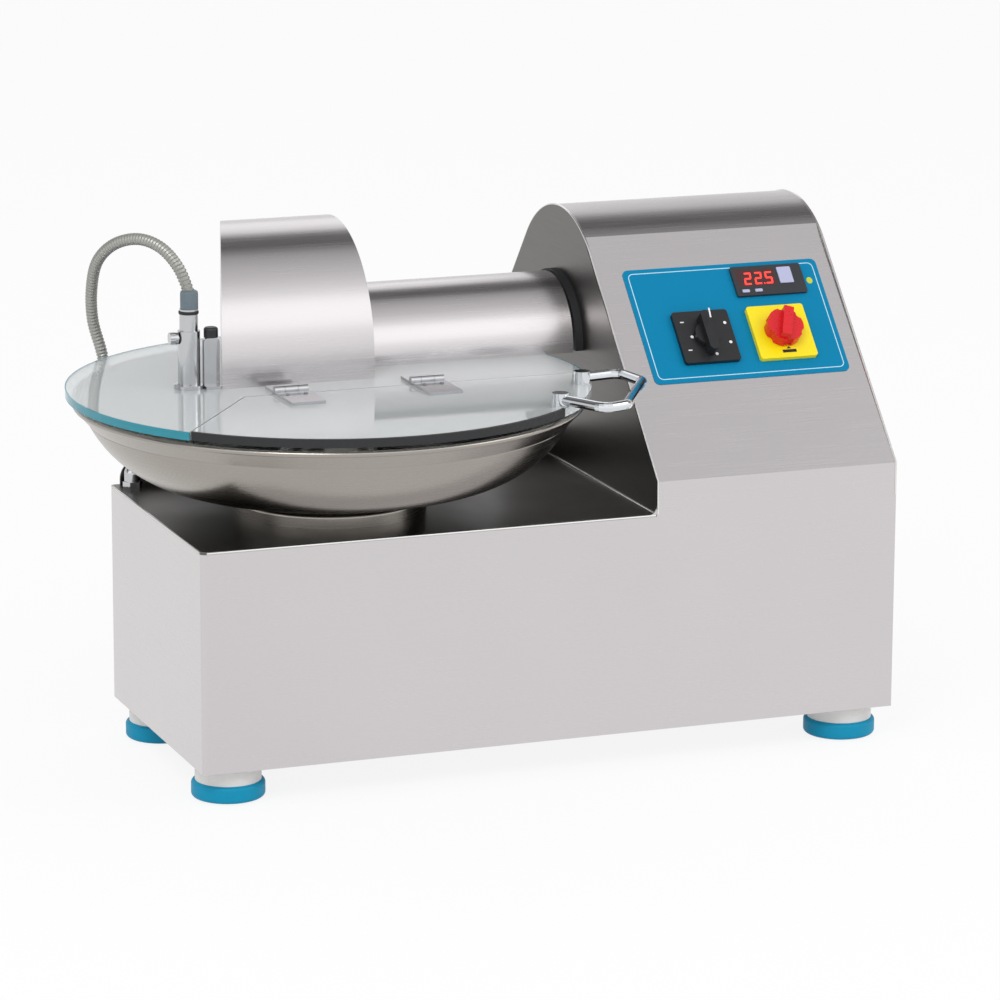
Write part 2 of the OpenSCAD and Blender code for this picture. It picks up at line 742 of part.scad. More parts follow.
// Belt: the open-belt outline of two circles, less the same outline drawn in by its thickness
belt_len = sqrt(pow(shaft_y - motor_y, 2) + pow(shaft_z - motor_z, 2));
belt_lean = atan2(shaft_z - motor_z, shaft_y - motor_y);
module belt_body(grow, z0, z1) {
    r0 = motor_pulley_r + grow;
    r1 = knife_pulley_r + grow;
    wrap = acos((r0 - r1) / belt_len);
    translate([0, 0, z0]) {
        cylinder(h = z1 - z0, r = r0);
        translate([belt_len, 0, 0]) cylinder(h = z1 - z0, r = r1);
        linear_extrude(z1 - z0) polygon([for (side = [1, -1], end = side > 0 ? [0, 1] : [1, 0])
            [end * belt_len, 0] + ((end > 0 ? r1 : r0) - tuck) * [cos(wrap), side * sin(wrap)]]);
    }
}
module drive_belt() color("black") framed() along_x(pulley_x + pulley_lip_t + run_gap / 2)
    translate([motor_y, motor_z]) rotate(belt_lean) difference() {
        belt_body(belt_t, 0, belt_w);
        belt_body(2 * fit, -over, belt_w + over);
    }
module knife_motor() color("dimgray") framed() difference() {
    union() {
        rod_x(motor_x, motor_y, motor_z, motor_r * 0.94, motor_l);
        for (i = [0:motor_fins - 1]) rod_x(motor_x + (i + 0.5) * motor_l / motor_fins, motor_y, motor_z, motor_r, fin_t);
        for (x = [motor_x + motor_foot_in, motor_x + motor_l - motor_foot_in - motor_foot_w])
            bar(x, x + motor_foot_w, motor_y - motor_r, motor_y + motor_r, foot_h + sheet, motor_z - motor_r * 0.6);
    }
    rod_x(motor_x - over, motor_y, motor_z, motor_shaft_r + fit, motor_seat + 2 * over);
}

// Bowl drive: a fixed ring on the deck, a spindle in its housing, and a gearmotor below it
module at_bowl(z) { translate([bowl_x, bowl_y, z]) children(); }
module tube(z, r, bore, h) {
    at_bowl(z) difference() {
        cylinder(h = h, r = r);
        translate([0, 0, -over]) cylinder(h = h + 2 * over, r = bore);
    }
}
module pedestal() color("silver") framed() at_bowl(deck_z) rotate_extrude() difference() {
    union() {
        square([pedestal_r, pedestal_h - pedestal_round]);
        square([pedestal_r - pedestal_round, pedestal_h]);
        translate([pedestal_r - pedestal_round, pedestal_h - pedestal_round]) circle(pedestal_round);
    }
    translate([0, -over]) square([spindle_hole_r, pedestal_h + 2 * over]);
}
module spindle_housing() color("gray") framed() difference() {
    union() {
        tube(housing_z, housing_r, shoulder_bore_r, housing_l);
        tube(deck_z - sheet - housing_flange_t, flange_r, shoulder_bore_r, housing_flange_t);
    }
    for (z = spindle_bearing_z) at_bowl(z - (z == housing_z ? over : 0))
        cylinder(h = bearing_w + over, r = spindle_bearing_r + fit);
    at_bowl(spindle_bearing_z[1]) cylinder(h = deck_z, r = spindle_bearing_r + fit);
}
module spindle_bearings() color("silver") framed() for (z = spindle_bearing_z)
    tube(z, spindle_bearing_r, spindle_r + fit, bearing_w);
module bowl_gearmotor() color("dimgray") framed() difference() {
    union() {
        at_bowl(housing_z - gear_h) translate([-gear_w / 2, -gear_w / 2, 0]) cube([gear_w, gear_w, gear_h]);
        rod_x(bowl_x + gear_w / 2, bowl_y, housing_z - gear_h / 2, gear_motor_r * 0.9, gear_motor_l);
        for (i = [0:gear_fins - 1]) rod_x(bowl_x + gear_w / 2 + (i + 1) * gear_motor_l / (gear_fins + 1), bowl_y,
            housing_z - gear_h / 2, gear_motor_r * 0.9 + fin_t, fin_t);
    }
    at_bowl(spindle_low) cylinder(h = gear_h + over, r = spindle_r + fit);
}
module bowl_spindle() color("silver") framed() {
    at_bowl(spindle_low + fit) cylinder(h = spindle_top - spindle_low - fit, r = spindle_r);
    at_bowl(plate_z) cylinder(h = plate_t, r = drive_plate_r);
    for (i = [0:pins - 1]) at_bowl(seat_z - over) rotate(i * 360 / pins) translate([pin_circle, 0, 0])
        cylinder(h = pin_h + over, r = pin_r);
}

// Bowl: a ring-shaped trough round a hub, turned as one profile, with a rolled lip
module trough(grow) {
    for (x = [trough_r, trough_r + trough_flat]) translate([x, shaft_z]) circle(trough_arc + grow);
    translate([trough_r, shaft_z - trough_arc - grow]) square([trough_flat, trough_arc + grow]);
}
module bowl() color("silver") framed() at_bowl(0) difference() {
    rotate_extrude($fn = 180) {
        difference() {
            union() {
                intersection() {
                    trough(bowl_wall);
                    translate([hub_r, seat_z]) square([flare_r + bowl_wall - hub_r, flare_z - seat_z]);
                }
                translate([0, hub_under]) square([hub_r + over, hub_top - hub_under]);
                translate([foot_ring_in, seat_z]) square([foot_ring_out - foot_ring_in, shaft_z - trough_arc - seat_z + 2 * pin_h]);
            }
            trough(0);
            translate([-over, hub_under - over]) square([spindle_r + fit + over, hub_top - hub_under + 2 * over]);
        }
        polygon([[flare_r, flare_z], [flare_r + 0.3 * bowl_wall, flare_z - 0.8 * bowl_wall], [flare_r + bowl_wall, flare_z],
            [rim_r, rim_z - lip_r], [rim_r - 2 * lip_r + over, rim_z - lip_r]]);
        translate([rim_r - lip_r, rim_z - lip_r]) circle(lip_r);
    }
    for (i = [0:pins - 1]) rotate(i * 360 / pins) translate([pin_circle, 0, seat_z - over])
        cylinder(h = pin_h + 2 * over, r = pin_r + fit);
}
module bowl_lock_knob() color("silver") framed() at_bowl(hub_top) difference() {
    union() {
        cylinder(h = lock_knob_h * 0.6, r = lock_knob_r);
        translate([0, 0, lock_knob_h * 0.6]) cylinder(h = lock_knob_h * 0.4, r1 = lock_knob_r, r2 = lock_knob_r * 0.7);
    }
    translate([0, 0, -over]) cylinder(h = spindle_top - hub_top + over + fit, r = spindle_r + fit);
    for (i = [0:lock_lobes - 1]) rotate((i + 0.5) * 360 / lock_lobes) translate([lock_knob_r * 1.12, 0, -over])
        cylinder(h = lock_knob_h + 2 * over, r = lock_knob_r / 4);
}

// Lid: outlines in plan that its disc, hoods and flap share
module hood_plan(grow) {
    skew = tan(hood_skew);
    y0 = shaft_y - hood_in - grow;
    y1 = shaft_y + hood_in + grow;
    side = grow / cos(hood_skew);
    polygon([[hood_left + skew * (y0 - shaft_y) - side, y0], [hood_right + grow, y0],
        [hood_right + grow, y1], [hood_left + skew * (y1 - shaft_y) - side, y1]]);
}
module flap_wedge(inset) {
    corner = [flap_left + inset * (1 - cos(flap_angle)) / sin(flap_angle), flap_y - inset];
    far = corner - 1.2 * lid_r * [cos(flap_angle), sin(flap_angle)];
    polygon([corner, [bowl_x + lid_r + over, corner[1]], [bowl_x + lid_r + over, far[1]], far]);
}
module flap_plan() {
    intersection() {
        translate([bowl_x, bowl_y]) circle(lid_r - flap_gap);
        flap_wedge(flap_gap);
    }
}
module lid_disc() color("lightcyan", 0.5) framed() difference() {
    translate([0, 0, lid_z]) linear_extrude(lid_t) difference() {
        translate([bowl_x, bowl_y]) circle(lid_r, $fn = 180);
        hood_plan(-window_step);
        translate([hood_right - 2 * window_step, shaft_y - arm_slot]) square([lid_r, 2 * arm_slot]);
        flap_wedge(0);
        translate([probe_x, probe_y]) circle(rod_probe_r + fit);
    }
}
module hood_profile(grow) {
    translate([shaft_y, shaft_z]) circle(hood_in + grow);
    translate([shaft_y - hood_in - grow, lid_top]) square([2 * (hood_in + grow), shaft_z - lid_top]);
}
module above_lid(grow) {
    difference() {
        translate([hood_left - hood_out, 0, 0]) rotate([90, 0, 90])
            linear_extrude(hood_right - hood_left + hood_out + grow) intersection() {
                hood_profile(grow);
                translate([shaft_y - 2 * hood_out, lid_top - (grow > 0 ? 0 : over)]) square([4 * hood_out, 3 * hood_out]);
            }
        translate([hood_left - grow / cos(hood_skew), shaft_y, lid_top - 2 * over]) rotate(-hood_skew)
            translate([-2 * hood_out, -2 * hood_out, 0]) cube([2 * hood_out, 4 * hood_out, 3 * hood_out]);
    }
}
module knife_hood() color("silver") framed() difference() {
    above_lid(hood_t);
    above_lid(0);
    rod_x(hood_right - over, shaft_y, shaft_z, arm_slot - over, hood_t + 2 * over);
    bar(hood_right - over, hood_right + hood_t + over, shaft_y - arm_slot + over, shaft_y + arm_slot - over,
        lid_top - over, shaft_z);
}
module cover_profile(r) {
    translate([shaft_y, cover_z]) circle(r);
    translate([shaft_y - r, lid_top - over]) square([2 * r, cover_z - lid_top + over]);
}
module shaft_hood() color("silver") framed() along_x(hood_right + hood_t) linear_extrude(cover_end - hood_right - hood_t)
    intersection() {
        difference() { cover_profile(cover_r); cover_profile(cover_r - hood_t); }
        translate([shaft_y - 2 * cover_r, lid_top]) square(4 * cover_r);
    }

// Hinge at the back of the lid: two arms turn on a rod that the tower holds
module lid_hinge_arms() color("silver") framed() for (x = hinge_arms_x) difference() {
    along_x(x) linear_extrude(hinge_arm_w) {
        translate([hinge_y, hinge_z]) circle(barrel_r);
        polygon([[hinge_y - hinge_arm_l, lid_top], [hinge_y, lid_top], [hinge_y, hinge_z + barrel_r],
            [hinge_y - barrel_r, hinge_z + barrel_r], [hinge_y - hinge_arm_l, lid_top + hinge_arm_t]]);
    }
    rod_x(x - over, hinge_y, hinge_z, rod_r + fit, hinge_arm_w + 2 * over);
}
module hinge_rod() color("silver") framed() {
    rod_x(rod_left, hinge_y, hinge_z, rod_r, tower_x + sheet - rod_left);
    rod_x(tower_x - rod_flange_t, hinge_y, hinge_z, rod_flange_r, rod_flange_t);
    rod_x(rod_left - rod_flange_t, hinge_y, hinge_z, rod_r + rod_flange_t / 2, rod_flange_t);
}

// Flap in the front of the lid: clear plate, dark edge, and two butt hinges with their pins
module flap_plate() color("lightcyan", 0.5) framed() translate([0, 0, lid_z]) linear_extrude(lid_t)
    difference() { flap_plan(); rim_band(); }
module rim_band() {
    difference() {
        translate([bowl_x, bowl_y]) circle(lid_r + over);
        translate([bowl_x, bowl_y]) circle(lid_r - flap_gap - flap_edge_w);
        translate([flap_edge_end, bowl_y - 2 * lid_r]) square([2 * lid_r, 4 * lid_r]);
    }
}
module flap_edge() color("black") framed() translate([0, 0, lid_z]) linear_extrude(lid_t)
    intersection() { flap_plan(); rim_band(); }
module clip_leaf(side, x) {
    y0 = side > 0 ? flap_hinge_y : flap_hinge_y - clip_l;
    bar(x - clip_w / 2, x + clip_w / 2, y0 + (side > 0 ? clip_knuckle_r : 0),
        y0 + (side > 0 ? clip_l / 2 : clip_l - clip_knuckle_r), lid_top, lid_top + clip_t);
}
module knuckle(x, w) {
    rod_x(x, flap_hinge_y, flap_hinge_z, clip_knuckle_r - fit, w);
}
module flap_hinge_fixed() color("silver") framed() for (x = clips_x) {
    clip_leaf(1, x);
    bar(x - knuckle_w / 2 + run_fit, x + knuckle_w / 2 - run_fit, flap_hinge_y, flap_hinge_y + clip_knuckle_r + over,
        lid_top, lid_top + clip_t);
    knuckle(x - knuckle_w / 2 + run_fit, knuckle_w - 2 * run_fit);
    rod_x(x - clip_w / 2, flap_hinge_y, flap_hinge_z, clip_pin_r, clip_w);
}
module flap_hinge_leaves() color("silver") framed() for (x = clips_x) difference() {
    union() {
        clip_leaf(-1, x);
        for (x0 = [x - clip_w / 2, x + knuckle_w / 2]) {
            w = (clip_w - knuckle_w) / 2;
            bar(x0, x0 + w, flap_hinge_y - clip_knuckle_r - over, flap_hinge_y, lid_top, lid_top + clip_t);
            knuckle(x0, w);
        }
    }
    rod_x(x - clip_w, flap_hinge_y, flap_hinge_z, clip_pin_r + fit, 2 * clip_w);
}

// Handle: a round rod bent into a loop beyond the flap's rim, with a boss at each end
function unit(v) = v / norm(v);
function handle_corner(i) = let (p = handle_pts[i], a = unit(p - handle_pts[i - 1]), b = unit(handle_pts[i + 1] - p),
        turn = acos(a * b), side = sign(cross(a, b)[2]), leg = handle_bend * tan(turn / 2),
        centre = p - leg * a + side * handle_bend * [-a[1], a[0], 0])
    [for (k = [0:bend_steps]) let (t = side * turn * k / bend_steps, v = side * handle_bend * [a[1], -a[0], 0])
        centre + [v[0] * cos(t) - v[1] * sin(t), v[0] * sin(t) + v[1] * cos(t), 0]];
handle_path = [handle_pts[0], for (i = [1:len(handle_pts) - 2]) each handle_corner(i), handle_pts[len(handle_pts) - 1]];
function path_dir(i) = unit(handle_path[min(len(handle_path) - 1, i + 1)] - handle_path[max(0, i - 1)]);
function handle_ring(i) = let (d = path_dir(i), side = [-d[1], d[0], 0])
    [for (k = [0:handle_sides - 1]) handle_path[i]
        + handle_r * (cos(k * 360 / handle_sides) * side + [0, 0, sin(k * 360 / handle_sides)])];
module handle_rod() {
    n = len(handle_path);
    s = handle_sides;
    polyhedron([for (i = [0:n - 1]) each handle_ring(i)], concat(
        [for (i = [0:n - 2], k = [0:s - 1]) let (a = i * s + k, b = i * s + (k + 1) % s)
            each [[a, a + s, b], [b, a + s, b + s]]],
        [for (k = [1:s - 2]) [0, k, k + 1]],
        [for (k = [1:s - 2]) [(n - 1) * s, (n - 1) * s + k + 1, (n - 1) * s + k]]));
}
module flap_handle() color("silver") framed() {
    handle_rod();
    for (p = [handle_pts[0], handle_pts[len(handle_pts) - 1]]) translate([p[0], p[1], lid_top])
        cylinder(h = handle_z + handle_r + run_gap - lid_top, r = handle_boss_r);
}

// Temperature probe on the lid: a holder tube, a threaded sleeve and the rod that dips into the bowl
module at_probe(z) { translate([probe_x, probe_y, z]) children(); }
module probe_holder() color("silver") framed() difference() {
    union() {
        at_probe(lid_top) cylinder(h = probe_h, r = probe_tube_r);
        at_probe(lid_top) cylinder(h = probe_flange_t, r = probe_flange_r);
        at_probe(lid_top + probe_h) cylinder(h = probe_ring_h, r = probe_ring_r);
    }
    at_probe(lid_top - over) cylinder(h = probe_h + probe_ring_h + 2 * over, r = rod_probe_r + fit);
    bar(post_x - post_w / 2 - post_gap, probe_x + 2 * probe_flange_r, probe_y - probe_flange_r - over,
        probe_y + probe_flange_r + over, lid_top - over, lid_top + probe_flange_t + over);
    at_probe(screw_z) rotate([0, -90, 0]) cylinder(h = probe_tube_r + over, r = screw_r + fit);
}
module probe_sleeve() color("silver") framed() at_probe(lid_top + probe_h + probe_ring_h) difference() {
    cylinder(h = sleeve_h, r = probe_ring_r);
    translate([0, 0, -over]) cylinder(h = sleeve_h + 2 * over, r = rod_probe_r + fit);
}
module probe_rod() color("silver") framed() {
    at_probe(probe_tip_z + rod_probe_r)
        cylinder(h = lid_top + probe_h + probe_ring_h + sleeve_h / 2 - probe_tip_z - rod_probe_r, r = rod_probe_r);
    at_probe(probe_tip_z + rod_probe_r) sphere(rod_probe_r);
}
module thumb_screw() color("silver") framed() at_probe(screw_z) rotate([0, -90, 0]) {
    translate([0, 0, rod_probe_r + run_fit]) cylinder(h = screw_l, r = screw_r);
    translate([0, 0, probe_tube_r + run_gap / 2]) difference() {
        cylinder(h = screw_head_l, r = screw_head_r);
        for (a = [0:screw_flutes - 1]) rotate(a * 360 / screw_flutes) translate([screw_head_r * 1.1, 0, screw_head_l / 3])
            cylinder(h = screw_head_l, r = screw_head_r / 5);
    }
}

// Post beside the hood, with the knob that clamps the hood
module hood_post() color("silver") framed() difference() {
    union() {
        translate([post_x - post_w / 2, post_y + post_t / 2, lid_top]) rotate([90, 0, 0]) linear_extrude(post_t) {
            square([post_w, post_h - post_w / 4]);
            translate([post_w / 4, 0]) square([post_w / 2, post_h]);
            for (x = [post_w / 4, post_w * 3 / 4]) translate([x, post_h - post_w / 4]) circle(post_w / 4);
        }
        translate([post_x - post_w / 2, post_y - post_foot / 2, lid_top]) cube([post_w, post_foot, post_t / 2]);
    }
    translate([post_x, post_y, lid_top + post_h - post_stem - run_fit]) cylinder(h = post_stem + over, r = post_stem_r + fit);
}
module hood_knob() color("black") framed() translate([post_x, post_y, lid_top + post_h]) {
    translate([0, 0, -post_stem]) cylinder(h = post_stem + run_gap, r = post_stem_r);
    translate([0, 0, run_gap / 2]) rotate_extrude() {
        square([post_knob_r - post_knob_round, post_knob_h]);
        square([post_knob_r, post_knob_h - post_knob_round]);
        translate([post_knob_r - post_knob_round, post_knob_h - post_knob_round]) circle(post_knob_round);
    }
}

// Ribbed hose of the probe's lead, from the sleeve on the lid to the gland on the deck
module conduit_gland() color("silver") framed() translate([gland_at[0], gland_at[1], deck_z]) difference() {
    union() {
        cylinder(h = gland_h * 0.5, r = gland_r, $fn = 6);
        cylinder(h = gland_h, r = gland_r * 0.8);
    }
    translate([0, 0, -over]) cylinder(h = gland_h + 2 * over, r = gland_bore_r);
}
function route_point(i) = hose_route[max(0, min(len(hose_route) - 1, i))];
function route_len(i) = i == 0 ? 0 : route_len(i - 1) + norm(hose_route[i] - hose_route[i - 1]);
route_table = [for (i = [0:len(hose_route) - 1]) [route_len(i), i]];
hose_len = route_len(len(hose_route) - 1);
function blend_at(u) = let (i = min(len(hose_route) - 2, floor(u)), f = u - i,
        a = route_point(i - 1), b = route_point(i), c = route_point(i + 1), d = route_point(i + 2))
    0.5 * (2 * b + (c - a) * f + (2 * a - 5 * b + 4 * c - d) * pow(f, 2) + (3 * b - a - 3 * c + d) * pow(f, 3));
function hose_at(s) = blend_at(lookup(min(hose_len, max(0, s)), route_table));
function hose_dir(s) = s <= hose_r ? [0, 0, 1] : s >= hose_len - hose_r ? [0, 0, -1] :
    unit(hose_at(s + hose_r / 4) - hose_at(s - hose_r / 4));
function hose_ring(s, r) = let (p = hose_at(s), t = hose_dir(s), side = unit([1, 0, 0] - t[0] * t), up = cross(t, side))
    [for (k = [0:hose_sides - 1]) p + r * (cos(k * 360 / hose_sides) * side + sin(k * 360 / hose_sides) * up)];
module conduit() color("gray") framed() {
    n = 2 * hose_ribs + 1;
    m = hose_ribs + 1;
    outer = [for (i = [0:n - 1]) each hose_ring(hose_len * i / (n - 1), hose_r - (i % 2 == 0 ? rib_h : 0))];
    inner = [for (i = [0:m - 1]) each hose_ring(hose_len * i / (m - 1), hose_bore_r)];
    base = n * hose_sides;
    side = hose_sides;
    polyhedron(concat(outer, inner), concat(
        [for (i = [0:n - 2], k = [0:side - 1]) let (a = i * side + k, b = i * side + (k + 1) % side)
            each [[a, a + side, b], [b, a + side, b + side]]],
        [for (i = [0:m - 2], k = [0:side - 1]) let (a = base + i * side + k, b = base + i * side + (k + 1) % side)
            each [[a, b, a + side], [b, b + side, a + side]]],
        [for (k = [0:side - 1]) let (a = k, b = (k + 1) % side) each [[a, b, base + a], [b, base + b, base + a]]],
        [for (k = [0:side - 1]) let (a = (n - 1) * side + k, b = (n - 1) * side + (k + 1) % side,
                c = base + (m - 1) * side + k, d = base + (m - 1) * side + (k + 1) % side)
            each [[a, c, b], [b, c, d]]]));
}

module control_box() color("gray") framed() {
    bar(right - sheet - box_w, right - sheet, tower_back - sheet - box_back - box_d, tower_back - sheet - box_back,
        box_z, box_z + box_h);
}

base_housing();
bottom_plate();
deck();
tower_cover();
tower_left_wall();
tower_right_wall();
rear_cover();
cover_screws();
foot_cups();
foot_rings();
control_panel();
display_bezel();
display_window();
selector_plate_face();  // selector_plate
switch_plate();
shaft_arm();
arm_bearings();
arm_seal();
arch_seal();
knife_motor();
drive_belt();
pedestal();
spindle_housing();
spindle_bearings();
bowl_gearmotor();
control_box();
hinge_rod();
conduit_gland();
cable_gland();
knife_shaft();
knife_hub();
knife_blades();
knife_nut();
knife_pulley();
motor_shaft();
motor_pulley();
bowl();
bowl_lock_knob();
bowl_spindle();
lid_disc();
knife_hood();
shaft_hood();
lid_hinge_arms();
flap_hinge_fixed();
probe_holder();
probe_sleeve();
probe_rod();
hood_post();
conduit();
flap_plate();
flap_edge();
flap_hinge_leaves();
flap_handle();
selector_knob();
switch_knob();
set_key();
up_key();
down_key();
thumb_screw();
hood_knob();
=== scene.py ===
"""Looks of a table-top bowl cutter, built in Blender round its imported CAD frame.

Sizes are in millimetres from the middle of the machine's base, and one function turns
them into metres in the frame of the CAD model.
"""

from __future__ import annotations

import logging
import math
from collections.abc import Sequence
from dataclasses import dataclass
from enum import Enum

import bmesh
import bpy
import numpy as np
from mathutils import Matrix, Vector

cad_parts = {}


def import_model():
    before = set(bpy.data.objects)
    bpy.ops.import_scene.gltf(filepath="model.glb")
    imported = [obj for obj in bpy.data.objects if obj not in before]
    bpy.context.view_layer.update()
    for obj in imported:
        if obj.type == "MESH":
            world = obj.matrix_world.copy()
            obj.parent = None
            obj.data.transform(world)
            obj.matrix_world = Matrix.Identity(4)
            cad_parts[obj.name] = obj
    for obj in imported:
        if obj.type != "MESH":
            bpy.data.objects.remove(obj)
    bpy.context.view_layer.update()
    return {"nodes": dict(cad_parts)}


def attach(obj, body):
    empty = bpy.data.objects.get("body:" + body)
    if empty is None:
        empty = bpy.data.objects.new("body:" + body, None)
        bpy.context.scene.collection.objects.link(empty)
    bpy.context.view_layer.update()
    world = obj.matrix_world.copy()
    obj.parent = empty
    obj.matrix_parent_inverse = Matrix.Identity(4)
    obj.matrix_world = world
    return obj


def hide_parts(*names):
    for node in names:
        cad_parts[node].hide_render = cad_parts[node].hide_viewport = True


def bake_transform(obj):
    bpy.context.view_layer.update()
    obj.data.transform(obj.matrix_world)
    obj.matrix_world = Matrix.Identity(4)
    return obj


Pair = tuple[float, float]
Place = tuple[float, float, float]
Outline = list[Pair]
Mesh = bmesh.types.BMesh
Tree = bpy.types.NodeTree
Socket = bpy.types.NodeSocket

LOG = logging.getLogger("bowl_cutter")
MM = 0.001
MERGE_M = 1e-6
SMOOTH_DEG = 35.0
BASE_TO_ROW = Vector((40.75, -14.0, 0.0))
BOWL_X, BOWL_Y = -186.0, -12.0
SHAFT_Y, SHAFT_Z = 114.0, 398.0
LID_TOP = 377.5
TOWER_X, FRONT, LEFT, RIGHT = 104.0, -152.5, -362.5, 362.5
DECK_BACK, DECK_Z = 152.5, 253.0
SLOPE_Z, SLOPE_DEG = 285.6, 46.5
SLOPE_SIN, SLOPE_COS = math.sin(math.radians(SLOPE_DEG)), math.cos(math.radians(SLOPE_DEG))
PROBE_X, PROBE_Y, PROBE_RING_Z = -322.0, 11.0, 451.0
HOSE_TOP = (-321.0, 12.0, 456.0)
GLAND_TOP = (-345.0, 133.0, 267.0)
UP = Vector((0.0, 0.0, 1.0))
SLOPE_OUT = Vector((0.0, -SLOPE_SIN, SLOPE_COS))


def row(x: float, y: float, z: float) -> Vector:
    """Turns a place from the middle of the base, in mm, into metres in the model's frame.

    Args:
        x: To the right.
        y: To the back.
        z: Up from the table.

    Returns:
        The same place in metres in the frame of the CAD model.
    """
    return (Vector((x, y, z)) + BASE_TO_ROW) * MM


def on_slope(x: float, s: float, out: float = 0.0) -> Vector:
    """Gives a place on the tower's sloped face.

    Args:
        x: To the right, from the middle of the base.
        s: Up the slope from its lower fold.
        out: Away from the face.

    Returns:
        The place in metres in the model's frame.
    """
    return row(x, FRONT + s * SLOPE_COS - out * SLOPE_SIN, SLOPE_Z + s * SLOPE_SIN + out * SLOPE_COS)


def linear(colour: str) -> tuple[float, float, float, float]:
    """Turns an sRGB hex colour into Blender's linear values.

    Args:
        colour: Such as "#d0cccc".

    Returns:
        Red, green, blue and alpha.
    """
    parts = [int(colour[i : i + 2], 16) / 255 for i in (1, 3, 5)]
    red, green, blue = (c / 12.92 if c <= 0.04045 else ((c + 0.055) / 1.055) ** 2.4 for c in parts)
    return red, green, blue, 1.0


def add(tree: Tree, kind: str, inputs: dict | None = None, **settings: object) -> bpy.types.Node:
    """Adds a node to a tree.

    Args:
        tree: The tree that gets the node.
        kind: The node's type.
        inputs: What goes into its sockets, by name or number: a value, or another node's output.
        settings: The node's own properties.

    Returns:
        The new node.
    """
    made = tree.nodes.new(kind)
    for key, value in settings.items():
        setattr(made, key, value)
    for key, value in (inputs or {}).items():
        if isinstance(value, Socket):
            tree.links.new(value, made.inputs[key])
        else:
            made.inputs[key].default_value = value
    return made


def about_bowl(tree: Tree) -> tuple[Socket, Socket]:
    """Adds nodes that measure a surface's place from the bowl's axis.

    Args:
        tree: A material's tree.

    Returns:
        The place as seen from the axis, and its level distance from the axis, both in metres.
    """
    centre = row(BOWL_X, BOWL_Y, 0)
    given = add(tree, "ShaderNodeTexCoord").outputs["Object"]
    shift = {"Vector": given, "Location": (-centre.x, -centre.y, 0.0)}
    place = add(tree, "ShaderNodeMapping", shift).outputs["Vector"]
    flat = {0: place, 1: (1.0, 1.0, 0.0)}
    level = add(tree, "ShaderNodeVectorMath", flat, operation="MULTIPLY").outputs["Vector"]
    radius = add(tree, "ShaderNodeVectorMath", {0: level}, operation="LENGTH").outputs["Value"]
    return place, radius


class Grain(Enum):
    """How the last tool's or the mould's marks run over a surface, as scales along x, y and z per metre."""

    LEVEL = (14.0, 14.0, 1300.0)
    ACROSS = (14.0, 900.0, 900.0)
    EVEN = (420.0, 420.0, 420.0)
    FINE = (1500.0, 1500.0, 1500.0)


@dataclass(frozen=True)
class Finish:
    """A finish: what the material is and how its surface was made."""

    slot: str
    name: str
    colour: str
    roughness: float
    metallic: float = 0.0
    grain: Grain = Grain.EVEN
    shade: float = 0.06
    rough_range: float = 0.06
    bump_mm: float = 0.02
    specular: float = 0.5
    coat: float = 0.0

    def pattern(self, tree: Tree) -> Socket:
        """Gives the place that the fine noise reads, stretched along the grain.

        Args:
            tree: The material's tree.

        Returns:
            The place's socket.
        """
        place = add(tree, "ShaderNodeTexCoord").outputs["Object"]
        stretched = {"Vector": place, "Scale": self.grain.value}
        return add(tree, "ShaderNodeMapping", stretched).outputs["Vector"]

    def colours(self, tree: Tree, fine: Socket) -> Socket:
        """Varies the base colour with the grain and with broad, faint clouds.

        Args:
            tree: The material's tree.
            fine: The fine noise, from 0 to 1.

        Returns:
            The colour's socket.
        """
        place = add(tree, "ShaderNodeTexCoord").outputs["Object"]
        broad = {"Vector": place, "Scale": 9.0, "Detail": 3.0}
        cloud = add(tree, "ShaderNodeTexNoise", broad).outputs["Fac"]
        both = add(tree, "ShaderNodeMath", {0: fine, 1: cloud}, operation="ADD").outputs[0]
        span = {"Value": both, "From Min": 0.6, "From Max": 1.4}
        span |= {"To Min": 1 - self.shade, "To Max": 1 + self.shade}
        value = add(tree, "ShaderNodeMapRange", span).outputs["Result"]
        colour = {"Color": linear(self.colour), "Value": value}
        return add(tree, "ShaderNodeHueSaturation", colour).outputs["Color"]

    def surface(self, tree: Tree) -> bpy.types.Node:
        """Builds the shader.

        Args:
            tree: The material's tree.

        Returns:
            The Principled BSDF.
        """
        marks = {"Vector": self.pattern(tree), "Scale": 1.0, "Detail": 4.0}
        fine = add(tree, "ShaderNodeTexNoise", marks).outputs["Fac"]
        span = {
            "Value": fine,
            "From Min": 0.3,
            "From Max": 0.7,
            "To Min": max(0.01, self.roughness - self.rough_range),
            "To Max": self.roughness + self.rough_range,
        }
        relief = {"Height": fine, "Strength": 0.35, "Distance": self.bump_mm * MM}
        looks = {
            "Base Color": self.colours(tree, fine),
            "Roughness": add(tree, "ShaderNodeMapRange", span).outputs["Result"],
            "Normal": add(tree, "ShaderNodeBump", relief).outputs["Normal"],
            "Metallic": self.metallic,
            "Specular IOR Level": self.specular,
            "Coat Weight": self.coat,
            "Coat Roughness": 0.12,
        }
        return add(tree, "ShaderNodeBsdfPrincipled", looks)

    def material(self) -> bpy.types.Material:
        """Makes the Blender material.

        Returns:
            The new material.
        """
        made = bpy.data.materials.new(self.name)
        made.use_nodes = True
        made.node_tree.nodes.clear()
        shader = self.surface(made.node_tree)
        add(made.node_tree, "ShaderNodeOutputMaterial", {"Surface": shader.outputs["BSDF"]})
        made.diffuse_color = linear(self.colour)
        return made


